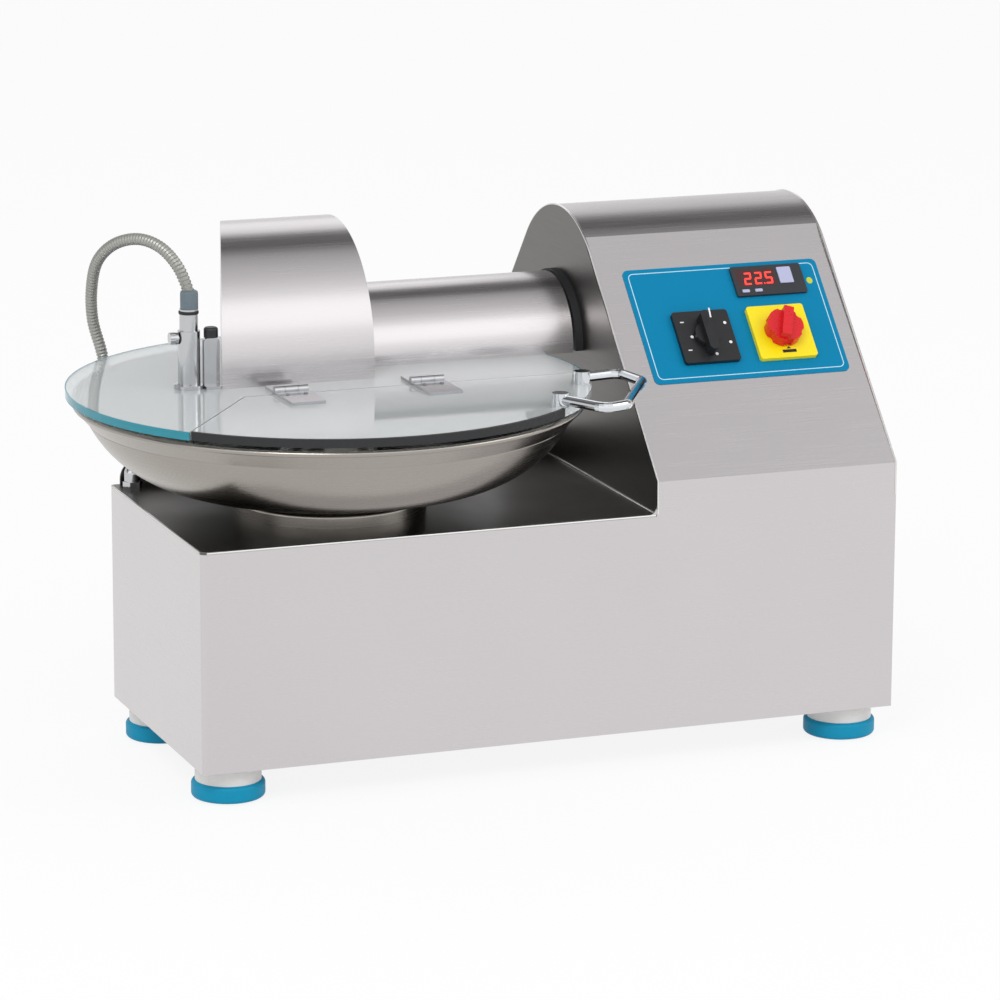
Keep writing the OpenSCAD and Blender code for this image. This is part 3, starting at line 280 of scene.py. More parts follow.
@dataclass(frozen=True)
class TurnedSteel(Finish):
    """Stainless steel spun or turned and then polished: its marks are rings about the bowl's axis."""

    ring_mm: float = 1.4

    def pattern(self, tree: Tree) -> Socket:
        """Gives a place whose first part is the distance from the bowl's axis and whose second is height.

        Args:
            tree: The material's tree.

        Returns:
            The place's socket.
        """
        place, radius = about_bowl(tree)
        height = add(tree, "ShaderNodeSeparateXYZ", {0: place}).outputs["Z"]
        ring = add(tree, "ShaderNodeCombineXYZ", {"X": radius, "Y": height}).outputs["Vector"]
        size = 1 / (self.ring_mm * MM)
        return add(tree, "ShaderNodeMapping", {"Vector": ring, "Scale": (size, size, size)}).outputs["Vector"]


@dataclass(frozen=True)
class ClearSheet(Finish):
    """Clear acrylic sheet, whose polished edge looks sea blue, because the eye looks along the sheet."""

    edge_colour: str = "#1f93a6"
    edge_r_mm: float = 256.8
    clear: float = 0.6
    clear_edge: float = 0.25
    smear_scale: float = 26.0

    def surface(self, tree: Tree) -> bpy.types.Node:
        """Builds a transmissive shader whose colour deepens beyond the rim's radius.

        Args:
            tree: The material's tree.

        Returns:
            The Principled BSDF.
        """
        place = add(tree, "ShaderNodeTexCoord").outputs["Object"]
        _, radius = about_bowl(tree)
        beyond = {0: radius, 1: self.edge_r_mm * MM}
        rim = add(tree, "ShaderNodeMath", beyond, operation="GREATER_THAN").outputs[0]
        tints = {"Factor": rim, "A": linear(self.colour), "B": linear(self.edge_colour)}
        smears = {"Vector": place, "Scale": self.smear_scale, "Detail": 5.0}
        smear = add(tree, "ShaderNodeTexNoise", smears).outputs["Fac"]
        dull = {"Value": smear, "To Min": self.roughness, "To Max": 3 * self.roughness}
        through = {"Value": rim, "To Min": self.clear, "To Max": self.clear_edge}
        looks = {
            "Base Color": add(tree, "ShaderNodeMix", tints, data_type="RGBA").outputs["Result"],
            "Roughness": add(tree, "ShaderNodeMapRange", dull).outputs["Result"],
            "Transmission Weight": add(tree, "ShaderNodeMapRange", through).outputs["Result"],
            "IOR": 1.49,
        }
        return add(tree, "ShaderNodeBsdfPrincipled", looks)


@dataclass(frozen=True)
class Display(Finish):
    """Lit red segments behind the thermometer's window."""

    glow: float = 1.2

    def surface(self, tree: Tree) -> bpy.types.Node:
        """Builds the plain shader and lights it.

        Args:
            tree: The material's tree.

        Returns:
            The Principled BSDF.
        """
        shader = super().surface(tree)
        shader.inputs["Emission Color"].default_value = linear(self.colour)
        shader.inputs["Emission Strength"].default_value = self.glow
        return shader


FINISHES: tuple[Finish, ...] = (
    # Cold-rolled 304 sheet with a satin ground face: a soft grey that brightens in streaks along the grain.
    Finish("sheet_steel", "satin_stainless_sheet", "#d0cccd", 0.25, 1.0, Grain.LEVEL, 0.014, 0.03, 0.003),
    # Bright-annealed 304 sheet: sharp, with its base colour painted dark as a painted reflection of the bowl
    # beside it and painted shade.
    Finish("mirror_steel", "stainless_painted_reflection_and_shade", "#6b6967", 0.34, 1.0, Grain.LEVEL, 0.03, 0.04, 0.004),
    # Spun and polished stainless bowl: fine rings about its axis.
    TurnedSteel("bowl_steel", "spun_stainless_bowl", "#a39e97", 0.26, 1.0, Grain.EVEN, 0.035, 0.03, 0.008),
    # Turned or milled stainless: even, slightly dull.
    Finish("machined_steel", "machined_stainless", "#c2c3c5", 0.14, 1.0, Grain.FINE, 0.02, 0.03, 0.001),
    # Ground knife steel: straight grinding marks across the blade.
    Finish("blade_steel", "ground_knife_steel", "#c4c6ca", 0.2, 1.0, Grain.ACROSS, 0.06, 0.05, 0.01),
    # Electropolished round bar: almost a mirror.
    Finish("chrome_rod", "polished_round_bar", "#d6d9dc", 0.12, 1.0, Grain.FINE, 0.02, 0.02, 0.001),
    # Cast acrylic sheet, 8 mm, clear.
    ClearSheet("lid_clear", "clear_acrylic_sheet", "#f4f9fa", 0.015),
    # EPDM rubber: black, dull.
    Finish("black_rubber", "black_epdm_rubber", "#1b1c1e", 0.62, 0.0, Grain.EVEN, 0.12, 0.08, 0.03),
    # Moulded TPE rubber feet: sea blue, satin.
    Finish("blue_rubber", "blue_moulded_rubber", "#0090b6", 0.5, 0.0, Grain.EVEN, 0.05, 0.08, 0.02, 0.25),
    # Moulded polypropylene cups: off-white, satin.
    Finish("pale_plastic", "pale_polypropylene", "#e3e1df", 0.45, 0.0, Grain.EVEN, 0.03, 0.06, 0.02),
    # Printed polyester film with a fine texture: flat sea blue.
    Finish("blue_panel", "printed_polyester_film", "#007fab", 0.45, 0.0, Grain.FINE, 0.02, 0.05, 0.002, 0.12),
    # Moulded ABS: black, satin, finely eroded.
    Finish("black_plastic", "black_moulded_abs", "#18191b", 0.4, 0.0, Grain.EVEN, 0.1, 0.08, 0.02),
    # Bezel of the thermometer, moulded polycarbonate.
    Finish("grey_plastic", "dark_moulded_polycarbonate", "#2a2d31", 0.34, 0.0, Grain.EVEN, 0.08, 0.06, 0.012),
    # Tinted display window: very dark red, glossy.
    Finish(
        "red_window", "tinted_display_window", "#3a0508", 0.12, 0.0, Grain.EVEN, 0.05, 0.02, 0.002, 0.5, 0.6
    ),
    # Moulded switch plate: clear yellow, satin.
    Finish("yellow_plastic", "yellow_moulded_abs", "#f6e300", 0.36, 0.0, Grain.EVEN, 0.03, 0.06, 0.012),
    # Moulded switch knob: signal red, glossy.
    Finish("red_plastic", "red_moulded_abs", "#d9121f", 0.3, 0.0, Grain.EVEN, 0.04, 0.06, 0.012),
    # Rubber keys of the thermometer: pale lavender.
    Finish("key_plastic", "lavender_silicone_keys", "#b4b7d6", 0.5, 0.0, Grain.EVEN, 0.03, 0.06, 0.012),
    # Enamelled cast aluminium of the motors: grey, slightly orange-peeled.
    Finish("motor_paint", "grey_motor_enamel", "#4b5157", 0.42, 0.0, Grain.EVEN, 0.08, 0.08, 0.05),
    # Turned grey cast iron.
    Finish("cast_pulley", "turned_cast_iron", "#77797b", 0.42, 1.0, Grain.ACROSS, 0.08, 0.06, 0.02),
    # Ribbed hose of wound galvanised strip under a thin grey coating.
    Finish("hose_metal", "grey_coated_hose", "#a3a39e", 0.38, 0.55, Grain.FINE, 0.06, 0.06, 0.004),
)

EXTRA_FINISHES: tuple[Finish, ...] = (
    # Lighter than the sheet: a painted highlight on the beads of the folded and welded edges.
    Finish("machined_steel", "sheet_edge_painted_highlight", "#e2e0de", 0.22, 1.0, Grain.ACROSS, 0.04, 0.05, 0.006),
    Finish("machined_steel", "button_head_stainless", "#a9abae", 0.22, 1.0, Grain.FINE, 0.02, 0.04, 0.001),
    Finish("grey_plastic", "slate_rubber_sleeve", "#66747c", 0.5, 0.0, Grain.EVEN, 0.05, 0.05, 0.006),
    # Near-black: the ink of the mark below the switch, and painted shade on the thin slit that stands for
    # each screw head's recess.
    Finish("black_plastic", "dark_ink_and_recess_shade", "#101113", 0.6, 0.0, Grain.EVEN, 0.05, 0.05, 0.01),
    Finish("blue_panel", "pale_printed_ink", "#bfe3f0", 0.4, 0.0, Grain.EVEN, 0.02, 0.04, 0.004),
    Finish("black_plastic", "white_printed_ink", "#eceded", 0.4, 0.0, Grain.EVEN, 0.02, 0.04, 0.004),
    Finish("yellow_plastic", "yellow_printed_ink", "#c9cf2a", 0.4, 0.0, Grain.EVEN, 0.02, 0.04, 0.004),
    Finish("grey_plastic", "pale_bezel_face", "#9c9fb4", 0.4, 0.0, Grain.EVEN, 0.03, 0.05, 0.006),
    Display("red_window", "lit_red_segment", "#ff3a30", 0.3, 0.0, Grain.EVEN, 0.02, 0.02, 0.002),
)


class Paints:
    """Every material of the scene, by the record's slot and by its own name."""

    def __init__(self) -> None:
        """Makes the materials once."""
        self.by_slot: dict[str, bpy.types.Material] = {f.slot: f.material() for f in FINISHES}
        self.by_name: dict[str, bpy.types.Material] = {m.name: m for m in self.by_slot.values()}
        self.slots: dict[str, str] = {f.name: f.slot for f in (*FINISHES, *EXTRA_FINISHES)}
        for finish in EXTRA_FINISHES:
            self.by_name[finish.name] = finish.material()

    def dress_nodes(self, nodes: dict[str, bpy.types.Object]) -> None:
        """Gives each CAD node the material of the slot that it was packed with.

        Args:
            nodes: The frame's nodes by name.
        """
        for node in nodes.values():
            for place in node.material_slots:
                packed = place.material.name.split(".")[0]
                if packed in self.by_slot:
                    place.material = self.by_slot[packed]

    def put(self, piece: bpy.types.Object, name: str) -> None:
        """Gives a new piece one finish.

        Args:
            piece: The new piece.
            name: The finish's own name.
        """
        piece.data.materials.clear()
        piece.data.materials.append(self.by_name[name])


def mesh_piece(name: str, mesh: Mesh, smooth: bool = True) -> bpy.types.Object:
    """Makes an object of a finished mesh.

    Args:
        name: The piece's name.
        mesh: Its mesh, in metres in the model's frame. It is freed.
        smooth: Whether its faces are shaded smooth up to SMOOTH_DEG.

    Returns:
        The new object, at the origin.
    """
    bmesh.ops.remove_doubles(mesh, verts=mesh.verts, dist=MERGE_M)
    bmesh.ops.recalc_face_normals(mesh, faces=mesh.faces)
    data = bpy.data.meshes.new(name)
    mesh.to_mesh(data)
    mesh.free()
    if smooth:
        data.shade_smooth()
        data.set_sharp_from_angle(angle=math.radians(SMOOTH_DEG))
    made = bpy.data.objects.new(name, data)
    bpy.context.scene.collection.objects.link(made)
    return made


def tube(mesh: Mesh, path: Sequence[Vector], radii: Sequence[float], sides: int) -> None:
    """Adds a round tube along a path, with closed ends.

    Args:
        mesh: The mesh that gets it.
        path: Its centre line, in metres.
        radii: Its radius at each point, in metres.
        sides: How many faces go round it.
    """
    rings: list[list[bmesh.types.BMVert]] = []
    side = None
    for i, point in enumerate(path):
        along = (path[min(i + 1, len(path) - 1)] - path[max(i - 1, 0)]).normalized()
        if side is None:
            side = along.orthogonal().normalized()
        side = (side - along * side.dot(along)).normalized()
        other = along.cross(side)
        turns = [2 * math.pi * k / sides for k in range(sides)]
        rings.append(
            [mesh.verts.new(point + radii[i] * (math.cos(t) * side + math.sin(t) * other)) for t in turns]
        )
    for near, far in zip(rings, rings[1:]):
        for k in range(sides):
            mesh.faces.new((near[k], near[(k + 1) % sides], far[(k + 1) % sides], far[k]))
    mesh.faces.new(rings[0][::-1])
    mesh.faces.new(rings[-1])


def slab(mesh: Mesh, outline: Sequence[Vector], out: Vector, thick: float) -> None:
    """Adds a flat plate of any outline.

    Args:
        mesh: The mesh that gets it.
        outline: Its corners on the face that it lies on, in metres.
        out: The direction away from that face.
        thick: Its thickness in mm.
    """
    low = [mesh.verts.new(p) for p in outline]
    high = [mesh.verts.new(p + out * thick * MM) for p in outline]
    mesh.faces.new(high)
    mesh.faces.new(low[::-1])
    for i in range(len(outline)):
        k = (i + 1) % len(outline)
        mesh.faces.new((low[i], low[k], high[k], high[i]))


def turned(mesh: Mesh, foot: Vector, profile: Sequence[Pair], sides: int) -> None:
    """Adds a turned solid with an upright axis.

    Args:
        mesh: The mesh that gets it.
        foot: Where its axis starts, in metres.
        profile: Pairs of radius and height in mm, from the foot up; a radius of 0 closes an end.
        sides: How many faces go round it.
    """
    side = UP.orthogonal().normalized()
    other = UP.cross(side)
    turns = [2 * math.pi * k / sides for k in range(sides)]
    rings = []
    for radius, height in profile:
        centre = foot + UP * height * MM
        if radius == 0:
            rings.append([mesh.verts.new(centre)] * sides)
            continue
        rings.append(
            [mesh.verts.new(centre + radius * MM * (math.cos(t) * side + math.sin(t) * other)) for t in turns]
        )
    for near, far in zip(rings, rings[1:]):
        for k in range(sides):
            corners = [near[k], near[(k + 1) % sides], far[(k + 1) % sides], far[k]]
            unique = list(dict.fromkeys(corners))
            if len(unique) > 2:
                mesh.faces.new(unique)


def rounded(x0: float, x1: float, y0: float, y1: float, r: float, steps: int = 6) -> Outline:
    """Gives the corners of a rectangle with round corners, counter-clockwise.

    Args:
        x0: Its left side, in mm.
        x1: Its right side.
        y0: Its lower side.
        y1: Its upper side.
        r: The radius of its corners.
        steps: How many stretches make one corner.

    Returns:
        The corners as pairs of x and y, in mm.
    """
    made = []
    centres = ((x1 - r, y1 - r, 0), (x0 + r, y1 - r, 90), (x0 + r, y0 + r, 180), (x1 - r, y0 + r, 270))
    for cx, cy, start in centres:
        for k in range(steps + 1):
            t = math.radians(start + 90 * k / steps)
            made.append((cx + r * math.cos(t), cy + r * math.sin(t)))
    return made


def dot(x: float, s: float, half_x: float, half_s: float, sides: int) -> Outline:
    """Gives the corners of a printed dot, from its middle and half its width and height."""
    turns = np.linspace(0, 2 * math.pi, sides + 1)[:-1]
    return [(x + half_x * math.cos(t), s + half_s * math.sin(t)) for t in turns]


def bar(x: float, s: float, w: float, h: float) -> Outline:
    """Gives the corners of a printed rectangle, from its lower left corner, width and height."""
    return [(x, s), (x + w, s), (x + w, s + h), (x, s + h)]


@dataclass
class Dressing:
    """What every sub-assembly of new pieces shares."""

    paints: Paints

    def piece(self, name: str, mesh: Mesh, finish: str, body: str, smooth: bool = True) -> None:
        """Makes a new piece of one finish that rides on a body, and reports it.

        Args:
            name: The piece's name.
            mesh: Its mesh, in metres in the model's frame. It is freed.
            finish: The finish's own name.
            body: The body that it moves with.
            smooth: Whether its faces are shaded smooth up to SMOOTH_DEG.
        """
        made = mesh_piece(name, mesh, smooth)
        self.paints.put(made, finish)
        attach(made, body)
        LOG.info("%s: %d faces, rides on %s", name, len(made.data.polygons), body)


@dataclass
class ScrewSet(Dressing):
    """Button-head screws or rivets, placed by one Geometry Nodes tree and baked to a mesh for a body."""

    name: str
    body: str
    places: list[tuple[Vector, Vector]]
    head_r: float
    head_h: float
    head_sides: int = 20
    crown: float = 0.62
    recess_l: float = 1.1
    recess_w: float = 0.2
    recess_t: float = 0.12

    def tree(self) -> bpy.types.GeometryNodeTree:
        """Builds the tree: a head on each point, turned to the point's own facing.

        Returns:
            The tree, with the head's radius and height as inputs.
        """
        made = bpy.data.node_groups.new(f"{self.name}_tree", "GeometryNodeTree")
        for name, way, kind in (
            ("Geometry", "INPUT", "NodeSocketGeometry"),
            ("Head radius", "INPUT", "NodeSocketFloat"),
            ("Head height", "INPUT", "NodeSocketFloat"),
            ("Geometry", "OUTPUT", "NodeSocketGeometry"),
        ):
            made.interface.new_socket(name, in_out=way, socket_type=kind)
        given = add(made, "NodeGroupInput").outputs
        head_r, head_h = given["Head radius"], given["Head height"]
        crown_r, reach, width = (
            add(made, "ShaderNodeMath", {0: head_r, 1: share}, operation="MULTIPLY").outputs[0]
            for share in (self.crown, self.recess_l, self.recess_w)
        )
        cone = {"Vertices": self.head_sides, "Side Segments": 2, "Depth": head_h}
        cone |= {"Radius Top": crown_r, "Radius Bottom": head_r}
        head = add(made, "GeometryNodeMeshCone", cone).outputs["Mesh"]
        sides = {"X": reach, "Y": width, "Z": self.recess_t * MM}
        size = add(made, "ShaderNodeCombineXYZ", sides).outputs["Vector"]
        slit = add(made, "GeometryNodeMeshCube", {"Size": size}).outputs["Mesh"]
        lift = add(made, "ShaderNodeCombineXYZ", {"Z": head_h}).outputs["Vector"]
        shift = {"Geometry": slit, "Translation": lift}
        raised = add(made, "GeometryNodeTransform", shift).outputs["Geometry"]
        # A thin dark slit on top of each head: painted shade standing for the head's recess.
        marked = add(
            made,
            "GeometryNodeStoreNamedAttribute",
            {"Geometry": raised, "Name": "recess", "Value": True},
            data_type="BOOLEAN",
            domain="FACE",
        ).outputs["Geometry"]
        joined = add(made, "GeometryNodeJoinGeometry")
        for part in (head, marked):
            made.links.new(part, joined.inputs["Geometry"])
        facing = add(made, "GeometryNodeInputNamedAttribute", {"Name": "facing"}, data_type="FLOAT_VECTOR")
        up = {"Vector": facing.outputs["Attribute"]}
        turn = add(made, "FunctionNodeAlignRotationToVector", up, axis="Z").outputs["Rotation"]
        spread = {"Points": given["Geometry"], "Instance": joined.outputs["Geometry"], "Rotation": turn}
        heads = add(made, "GeometryNodeInstanceOnPoints", spread).outputs["Instances"]
        done = add(made, "GeometryNodeRealizeInstances", {"Geometry": heads}).outputs["Geometry"]
        recess = add(made, "GeometryNodeInputNamedAttribute", {"Name": "recess"}, data_type="BOOLEAN")
        for name, where in (("button_head_stainless", True), ("dark_ink_and_recess_shade", recess.outputs["Attribute"])):
            paint = {"Geometry": done, "Selection": where, "Material": self.paints.by_name[name]}
            done = add(made, "GeometryNodeSetMaterial", paint).outputs["Geometry"]
        add(made, "NodeGroupOutput", {"Geometry": done})
        return made

    def build(self) -> None:
        """Places the heads and bakes them to one piece, which rides on its body."""
        data = bpy.data.meshes.new(f"{self.name}_points")
        data.from_pydata([p for p, _ in self.places], [], [])
        facing = data.attributes.new("facing", "FLOAT_VECTOR", "POINT")
        facing.data.foreach_set("vector", [c for _, d in self.places for c in d])
        holder = bpy.data.objects.new(f"{self.name}_points", data)
        bpy.context.scene.collection.objects.link(holder)
        tree = self.tree()
        modifier = holder.modifiers.new("heads", "NODES")
        modifier.node_group = tree
        sizes = {"Head radius": self.head_r * MM, "Head height": self.head_h * MM}
        for item in tree.interface.items_tree:
            if item.item_type == "SOCKET" and item.in_out == "INPUT" and item.name in sizes:
                modifier[item.identifier] = sizes[item.name]
        bpy.context.view_layer.update()
        graph = bpy.context.evaluated_depsgraph_get()
        baked = bpy.data.meshes.new_from_object(holder.evaluated_get(graph))
        made = bpy.data.objects.new(self.name, baked)
        bpy.context.scene.collection.objects.link(made)
        bpy.data.objects.remove(holder)
        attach(made, self.body)
        LOG.info("%s: %d heads, rides on %s", self.name, len(self.places), self.body)


@dataclass(frozen=True)
class Lamp:
    """A soft square lamp: where it hangs and its side, in metres, and its power, in watts."""

    name: str
    at: Place
    side: float
    power: float


@dataclass
class Studio:
    """Camera, floor, world and lamps: a plain white studio at the photograph's viewing angle."""

    distance_px: float = 4745.66
    frame_px: float = 1000.0
    sensor: float = 36.0
    far_m: float = 60.0
    eye: Place = (-1654.27, -4315.75, 1334.04)
    yaw: float = -20.9474
    pitch: float = 13.2924
    roll: float = 0.2603
    floor_side: float = 14.0
    floor_sink: float = 0.0006
    floor_matt: float = 0.9
    floor_white: float = 0.86
    fill: float = 0.8
    band_gain: float = 1.5
    bands: tuple[Pair, ...] = (
        (0.0, 0.72), (0.09, 0.76), (0.13, 1.0), (0.25, 1.0), (0.31, 0.66), (0.42, 0.47),
        (0.54, 0.34), (0.60, 0.06), (0.70, 0.10), (0.78, 0.50), (1.0, 0.56),
    )
    aim: Place = (0.0, 0.0, 0.25)
    lamps: tuple[Lamp, ...] = (
        Lamp("key_softbox", (-1.6, -2.2, 2.6), 1.4, 34.0),
        Lamp("fill_softbox", (2.4, -1.4, 1.8), 1.6, 12.0),
        Lamp("back_softbox", (0.4, 2.6, 2.2), 1.6, 4.0),
    )

    def camera(self) -> None:
        """Makes the camera that was fitted to the photograph's edges."""
        yaw, pitch, roll = (math.radians(a) for a in (self.yaw, self.pitch, self.roll))
        back = Vector(
            (math.sin(yaw) * math.cos(pitch), -math.cos(yaw) * math.cos(pitch), math.sin(pitch))
        )
        right = (-back).cross(UP).normalized()
        up = right.cross(-back)
        across = math.cos(roll) * right + math.sin(roll) * up
        above = math.cos(roll) * up - math.sin(roll) * right
        data = bpy.data.cameras.new("camera")
        data.sensor_width = self.sensor
        data.lens = self.sensor * self.distance_px / self.frame_px
        data.clip_end = self.far_m
        made = bpy.data.objects.new("camera", data)
        turn = Matrix((across, above, back)).transposed().to_4x4()
        made.matrix_world = Matrix.Translation(row(*self.eye)) @ turn
        bpy.context.scene.collection.objects.link(made)
        bpy.context.scene.camera = made

    def background(self, tree: Tree) -> Socket:
        """Gives 1 for camera, glossy and transmission rays and 0 for the rest.

        Args:
            tree: The floor's or the world's tree.

        Returns:
            The share's socket.
        """
        path = add(tree, "ShaderNodeLightPath").outputs
        share = path["Is Camera Ray"]
        for ray in ("Is Glossy Ray", "Is Transmission Ray"):
            share = add(tree, "ShaderNodeMath", {0: share, 1: path[ray]}, operation="MAXIMUM").outputs[0]
        return share

    def floor(self) -> None:
        """Makes the white floor, which keeps the machine's shadow."""
        mesh = bmesh.new()
        half = self.floor_side / 2
        for x, y in ((-half, -half), (half, -half), (half, half), (-half, half)):
            mesh.verts.new((x, y, -self.floor_sink))
        mesh.faces.new(mesh.verts)
        made = mesh_piece("studio_floor", mesh, smooth=False)
        paint = bpy.data.materials.new("studio_white")
        paint.use_nodes = True
        tree = paint.node_tree
        tree.nodes.clear()
        matt = add(tree, "ShaderNodeBsdfDiffuse", {"Color": (*[self.floor_matt] * 3, 1.0)}).outputs["BSDF"]
        glow = {"Color": (1.0, 1.0, 1.0, 1.0), "Strength": 1.0}
        white = add(tree, "ShaderNodeEmission", glow).outputs["Emission"]
        seen = {0: self.background(tree), 1: self.floor_white}
        share = add(tree, "ShaderNodeMath", seen, operation="MULTIPLY").outputs[0]
        both = add(tree, "ShaderNodeMixShader", {0: share, 1: matt, 2: white}).outputs["Shader"]
        add(tree, "ShaderNodeOutputMaterial", {"Surface": both})
        made.data.materials.append(paint)

    def world(self) -> None:
        """Makes the studio's walls and ceiling: white behind, with soft bands for the metal to reflect."""
        world = bpy.data.worlds.new("studio")
        bpy.context.scene.world = world
        world.use_nodes = True
        tree = world.node_tree
        tree.nodes.clear()
        place = add(tree, "ShaderNodeTexCoord").outputs["Generated"]
        parts = add(tree, "ShaderNodeSeparateXYZ", {0: place}).outputs
        ahead = add(tree, "ShaderNodeMath", {0: parts["Y"], 1: -1.0}, operation="MULTIPLY").outputs[0]
        turn = add(tree, "ShaderNodeMath", {0: parts["Z"], 1: ahead}, operation="ARCTAN2").outputs[0]
        share = add(tree, "ShaderNodeMath", {0: turn, 1: math.pi}, operation="DIVIDE").outputs[0]
        ramp = add(tree, "ShaderNodeValToRGB", {"Fac": share})
        ramp.color_ramp.interpolation = "EASE"
        while len(ramp.color_ramp.elements) < len(self.bands):
            ramp.color_ramp.elements.new(0.5)
        for element, (spot, _) in zip(ramp.color_ramp.elements, self.bands):
            element.position = spot
        for element, (_, level) in zip(ramp.color_ramp.elements, self.bands):
            element.color = (level, level, level * 1.01, 1.0)
        path = add(tree, "ShaderNodeLightPath")
        stretch = {0: ramp.outputs["Color"], "Scale": self.band_gain}
        bright = add(tree, "ShaderNodeVectorMath", stretch, operation="SCALE").outputs["Vector"]
        plain = {"Factor": path.outputs["Is Glossy Ray"], "A": (1.0, 1.0, 1.0, 1.0), "B": bright}
        seen = add(tree, "ShaderNodeMix", plain, data_type="RGBA").outputs["Result"]
        both = {"Factor": self.background(tree), "A": (*[self.fill] * 3, 1.0), "B": seen}
        colour = add(tree, "ShaderNodeMix", both, data_type="RGBA").outputs["Result"]
        light = add(tree, "ShaderNodeBackground", {"Color": colour, "Strength": 1.0}).outputs["Background"]
        add(tree, "ShaderNodeOutputWorld", {"Surface": light})

    def hang(self, lamp: Lamp) -> None:
        """Adds one lamp, aimed at the machine.

        Args:
            lamp: The lamp.
        """
        data = bpy.data.lights.new(lamp.name, "AREA")
        data.size = lamp.side
        data.energy = lamp.power
        made = bpy.data.objects.new(lamp.name, data)
        made.location = lamp.at
        made.rotation_euler = (Vector(self.aim) - Vector(lamp.at)).to_track_quat("-Z", "Y").to_euler()
        bpy.context.scene.collection.objects.link(made)

    def build(self) -> None:
        """Makes the whole studio."""
        bpy.context.scene.view_settings.view_transform = "Standard"
        self.camera()
        self.floor()
        self.world()
        for lamp in self.lamps:
            self.hang(lamp)
        LOG.info("studio: camera, floor and %d lamps", len(self.lamps))


@dataclass
class ProbeHose(Dressing):
    """Ribbed metal hose of the probe's lead, from the sleeve on the lid over to the gland on the deck.

    Each rib is drawn with a few rings, as coarse as it has to be to show in the render.
    """

    diameter: float = 12.0
    rib_h: float = 1.0
    rib_mm: float = 4.0
    steps: int = 6
    sides: int = 20
    fine_steps: int = 40
    length_m: float = 0.0
    blend_low: Place = (-350, 160, 372)
    blend_high: Place = (-340, 60, 470)
    route: tuple[Place, ...] = (
        HOSE_TOP, (-321, 12, 470), (-327, 27, 494), (-337, 53, 510), (-351, 83, 514),
        (-366, 115, 504), (-375, 144, 482), (-374, 169, 449), (-368, 187, 415), (-358, 196, 385),
        (-355, 197, 372), (-354, 190, 348), (-351, 172, 330), (-349, 158, 323), (-346, 140, 305),
        (-345, 133, 280), GLAND_TOP,
    )

    def line(self) -> list[Vector]:
        """Lays a smooth centre line through the route, and measures it.

        Returns:
            One point for each ring of the hose, in metres.
        """
        points = [row(*p) for p in self.route]
        fine = []
        for i in range(len(points) - 1):
            a, b, c, d = (points[max(0, min(len(points) - 1, k))] for k in (i - 1, i, i + 1, i + 2))
            for step in range(self.fine_steps):
                f = step / self.fine_steps
                bend, twist = 2 * a - 5 * b + 4 * c - d, 3 * b - a - 3 * c + d
                fine.append(0.5 * (2 * b + (c - a) * f + bend * f**2 + twist * f**3))
        fine.append(points[-1])
        run = np.concatenate([[0], np.cumsum([(q - p).length for p, q in zip(fine, fine[1:])])])
        self.length_m = float(run[-1])
        count = round(self.length_m / MM / self.rib_mm) * self.steps
        spots = np.linspace(0, run[-1], count + 1)
        table = np.array([list(p) for p in fine])
        return [Vector([float(np.interp(s, run, table[:, k])) for k in range(3)]) for s in spots]

    def build(self) -> None:
        path = self.line()
        wave = [0.5 + 0.5 * math.cos(2 * math.pi * i / self.steps) for i in range(self.steps)]
        radii = [(self.diameter / 2 - self.rib_h * wave[i % self.steps]) * MM for i in range(len(path))]
        mesh = bmesh.new()
        tube(mesh, path, radii, self.sides)
        made = mesh_piece("probe_hose", mesh)
        made.data.shade_smooth()
        self.paints.put(made, "grey_coated_hose")
        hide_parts("conduit")
        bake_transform(made)
        LOG.info("probe_hose: %.3f m, bends between base and lid", self.length_m)


@dataclass(frozen=True)
class Collar:
    """A turned collar on the hose: its foot, and its profile as pairs of radius and height, in mm."""

    name: str
    foot: Place
    profile: tuple[Pair, ...]
    sides: int
    finish: str
    body: str


@dataclass
class HoseEnds(Dressing):
    """Rubber sleeve and black ring where the hose meets the probe, and the nut at the gland."""

    collars: tuple[Collar, ...] = (
        Collar(
            "hose_ferrule", HOSE_TOP,
            ((0, -1), (8.8, -1), (8.8, 15), (8.2, 17), (6.4, 18), (0, 18)), 32, "slate_rubber_sleeve", "lid",
        ),
        Collar(
            "probe_ring", (PROBE_X, PROBE_Y, PROBE_RING_Z),
            ((0, 0), (9.4, 0), (9.9, 0.6), (9.9, 2.6), (9.4, 3.2), (0, 3.2)), 32, "black_epdm_rubber", "lid",
        ),
        Collar(
            "hose_nut", GLAND_TOP,
            ((0, 0), (8, 0), (8, 2), (7.2, 5), (6.3, 6), (0, 6)), 24, "machined_stainless", "base",
        ),
    )

    def build(self) -> None:
        """Makes each collar."""
        for each in self.collars:
            mesh = bmesh.new()
            turned(mesh, row(*each.foot), each.profile, each.sides)
            self.piece(each.name, mesh, each.finish, each.body)


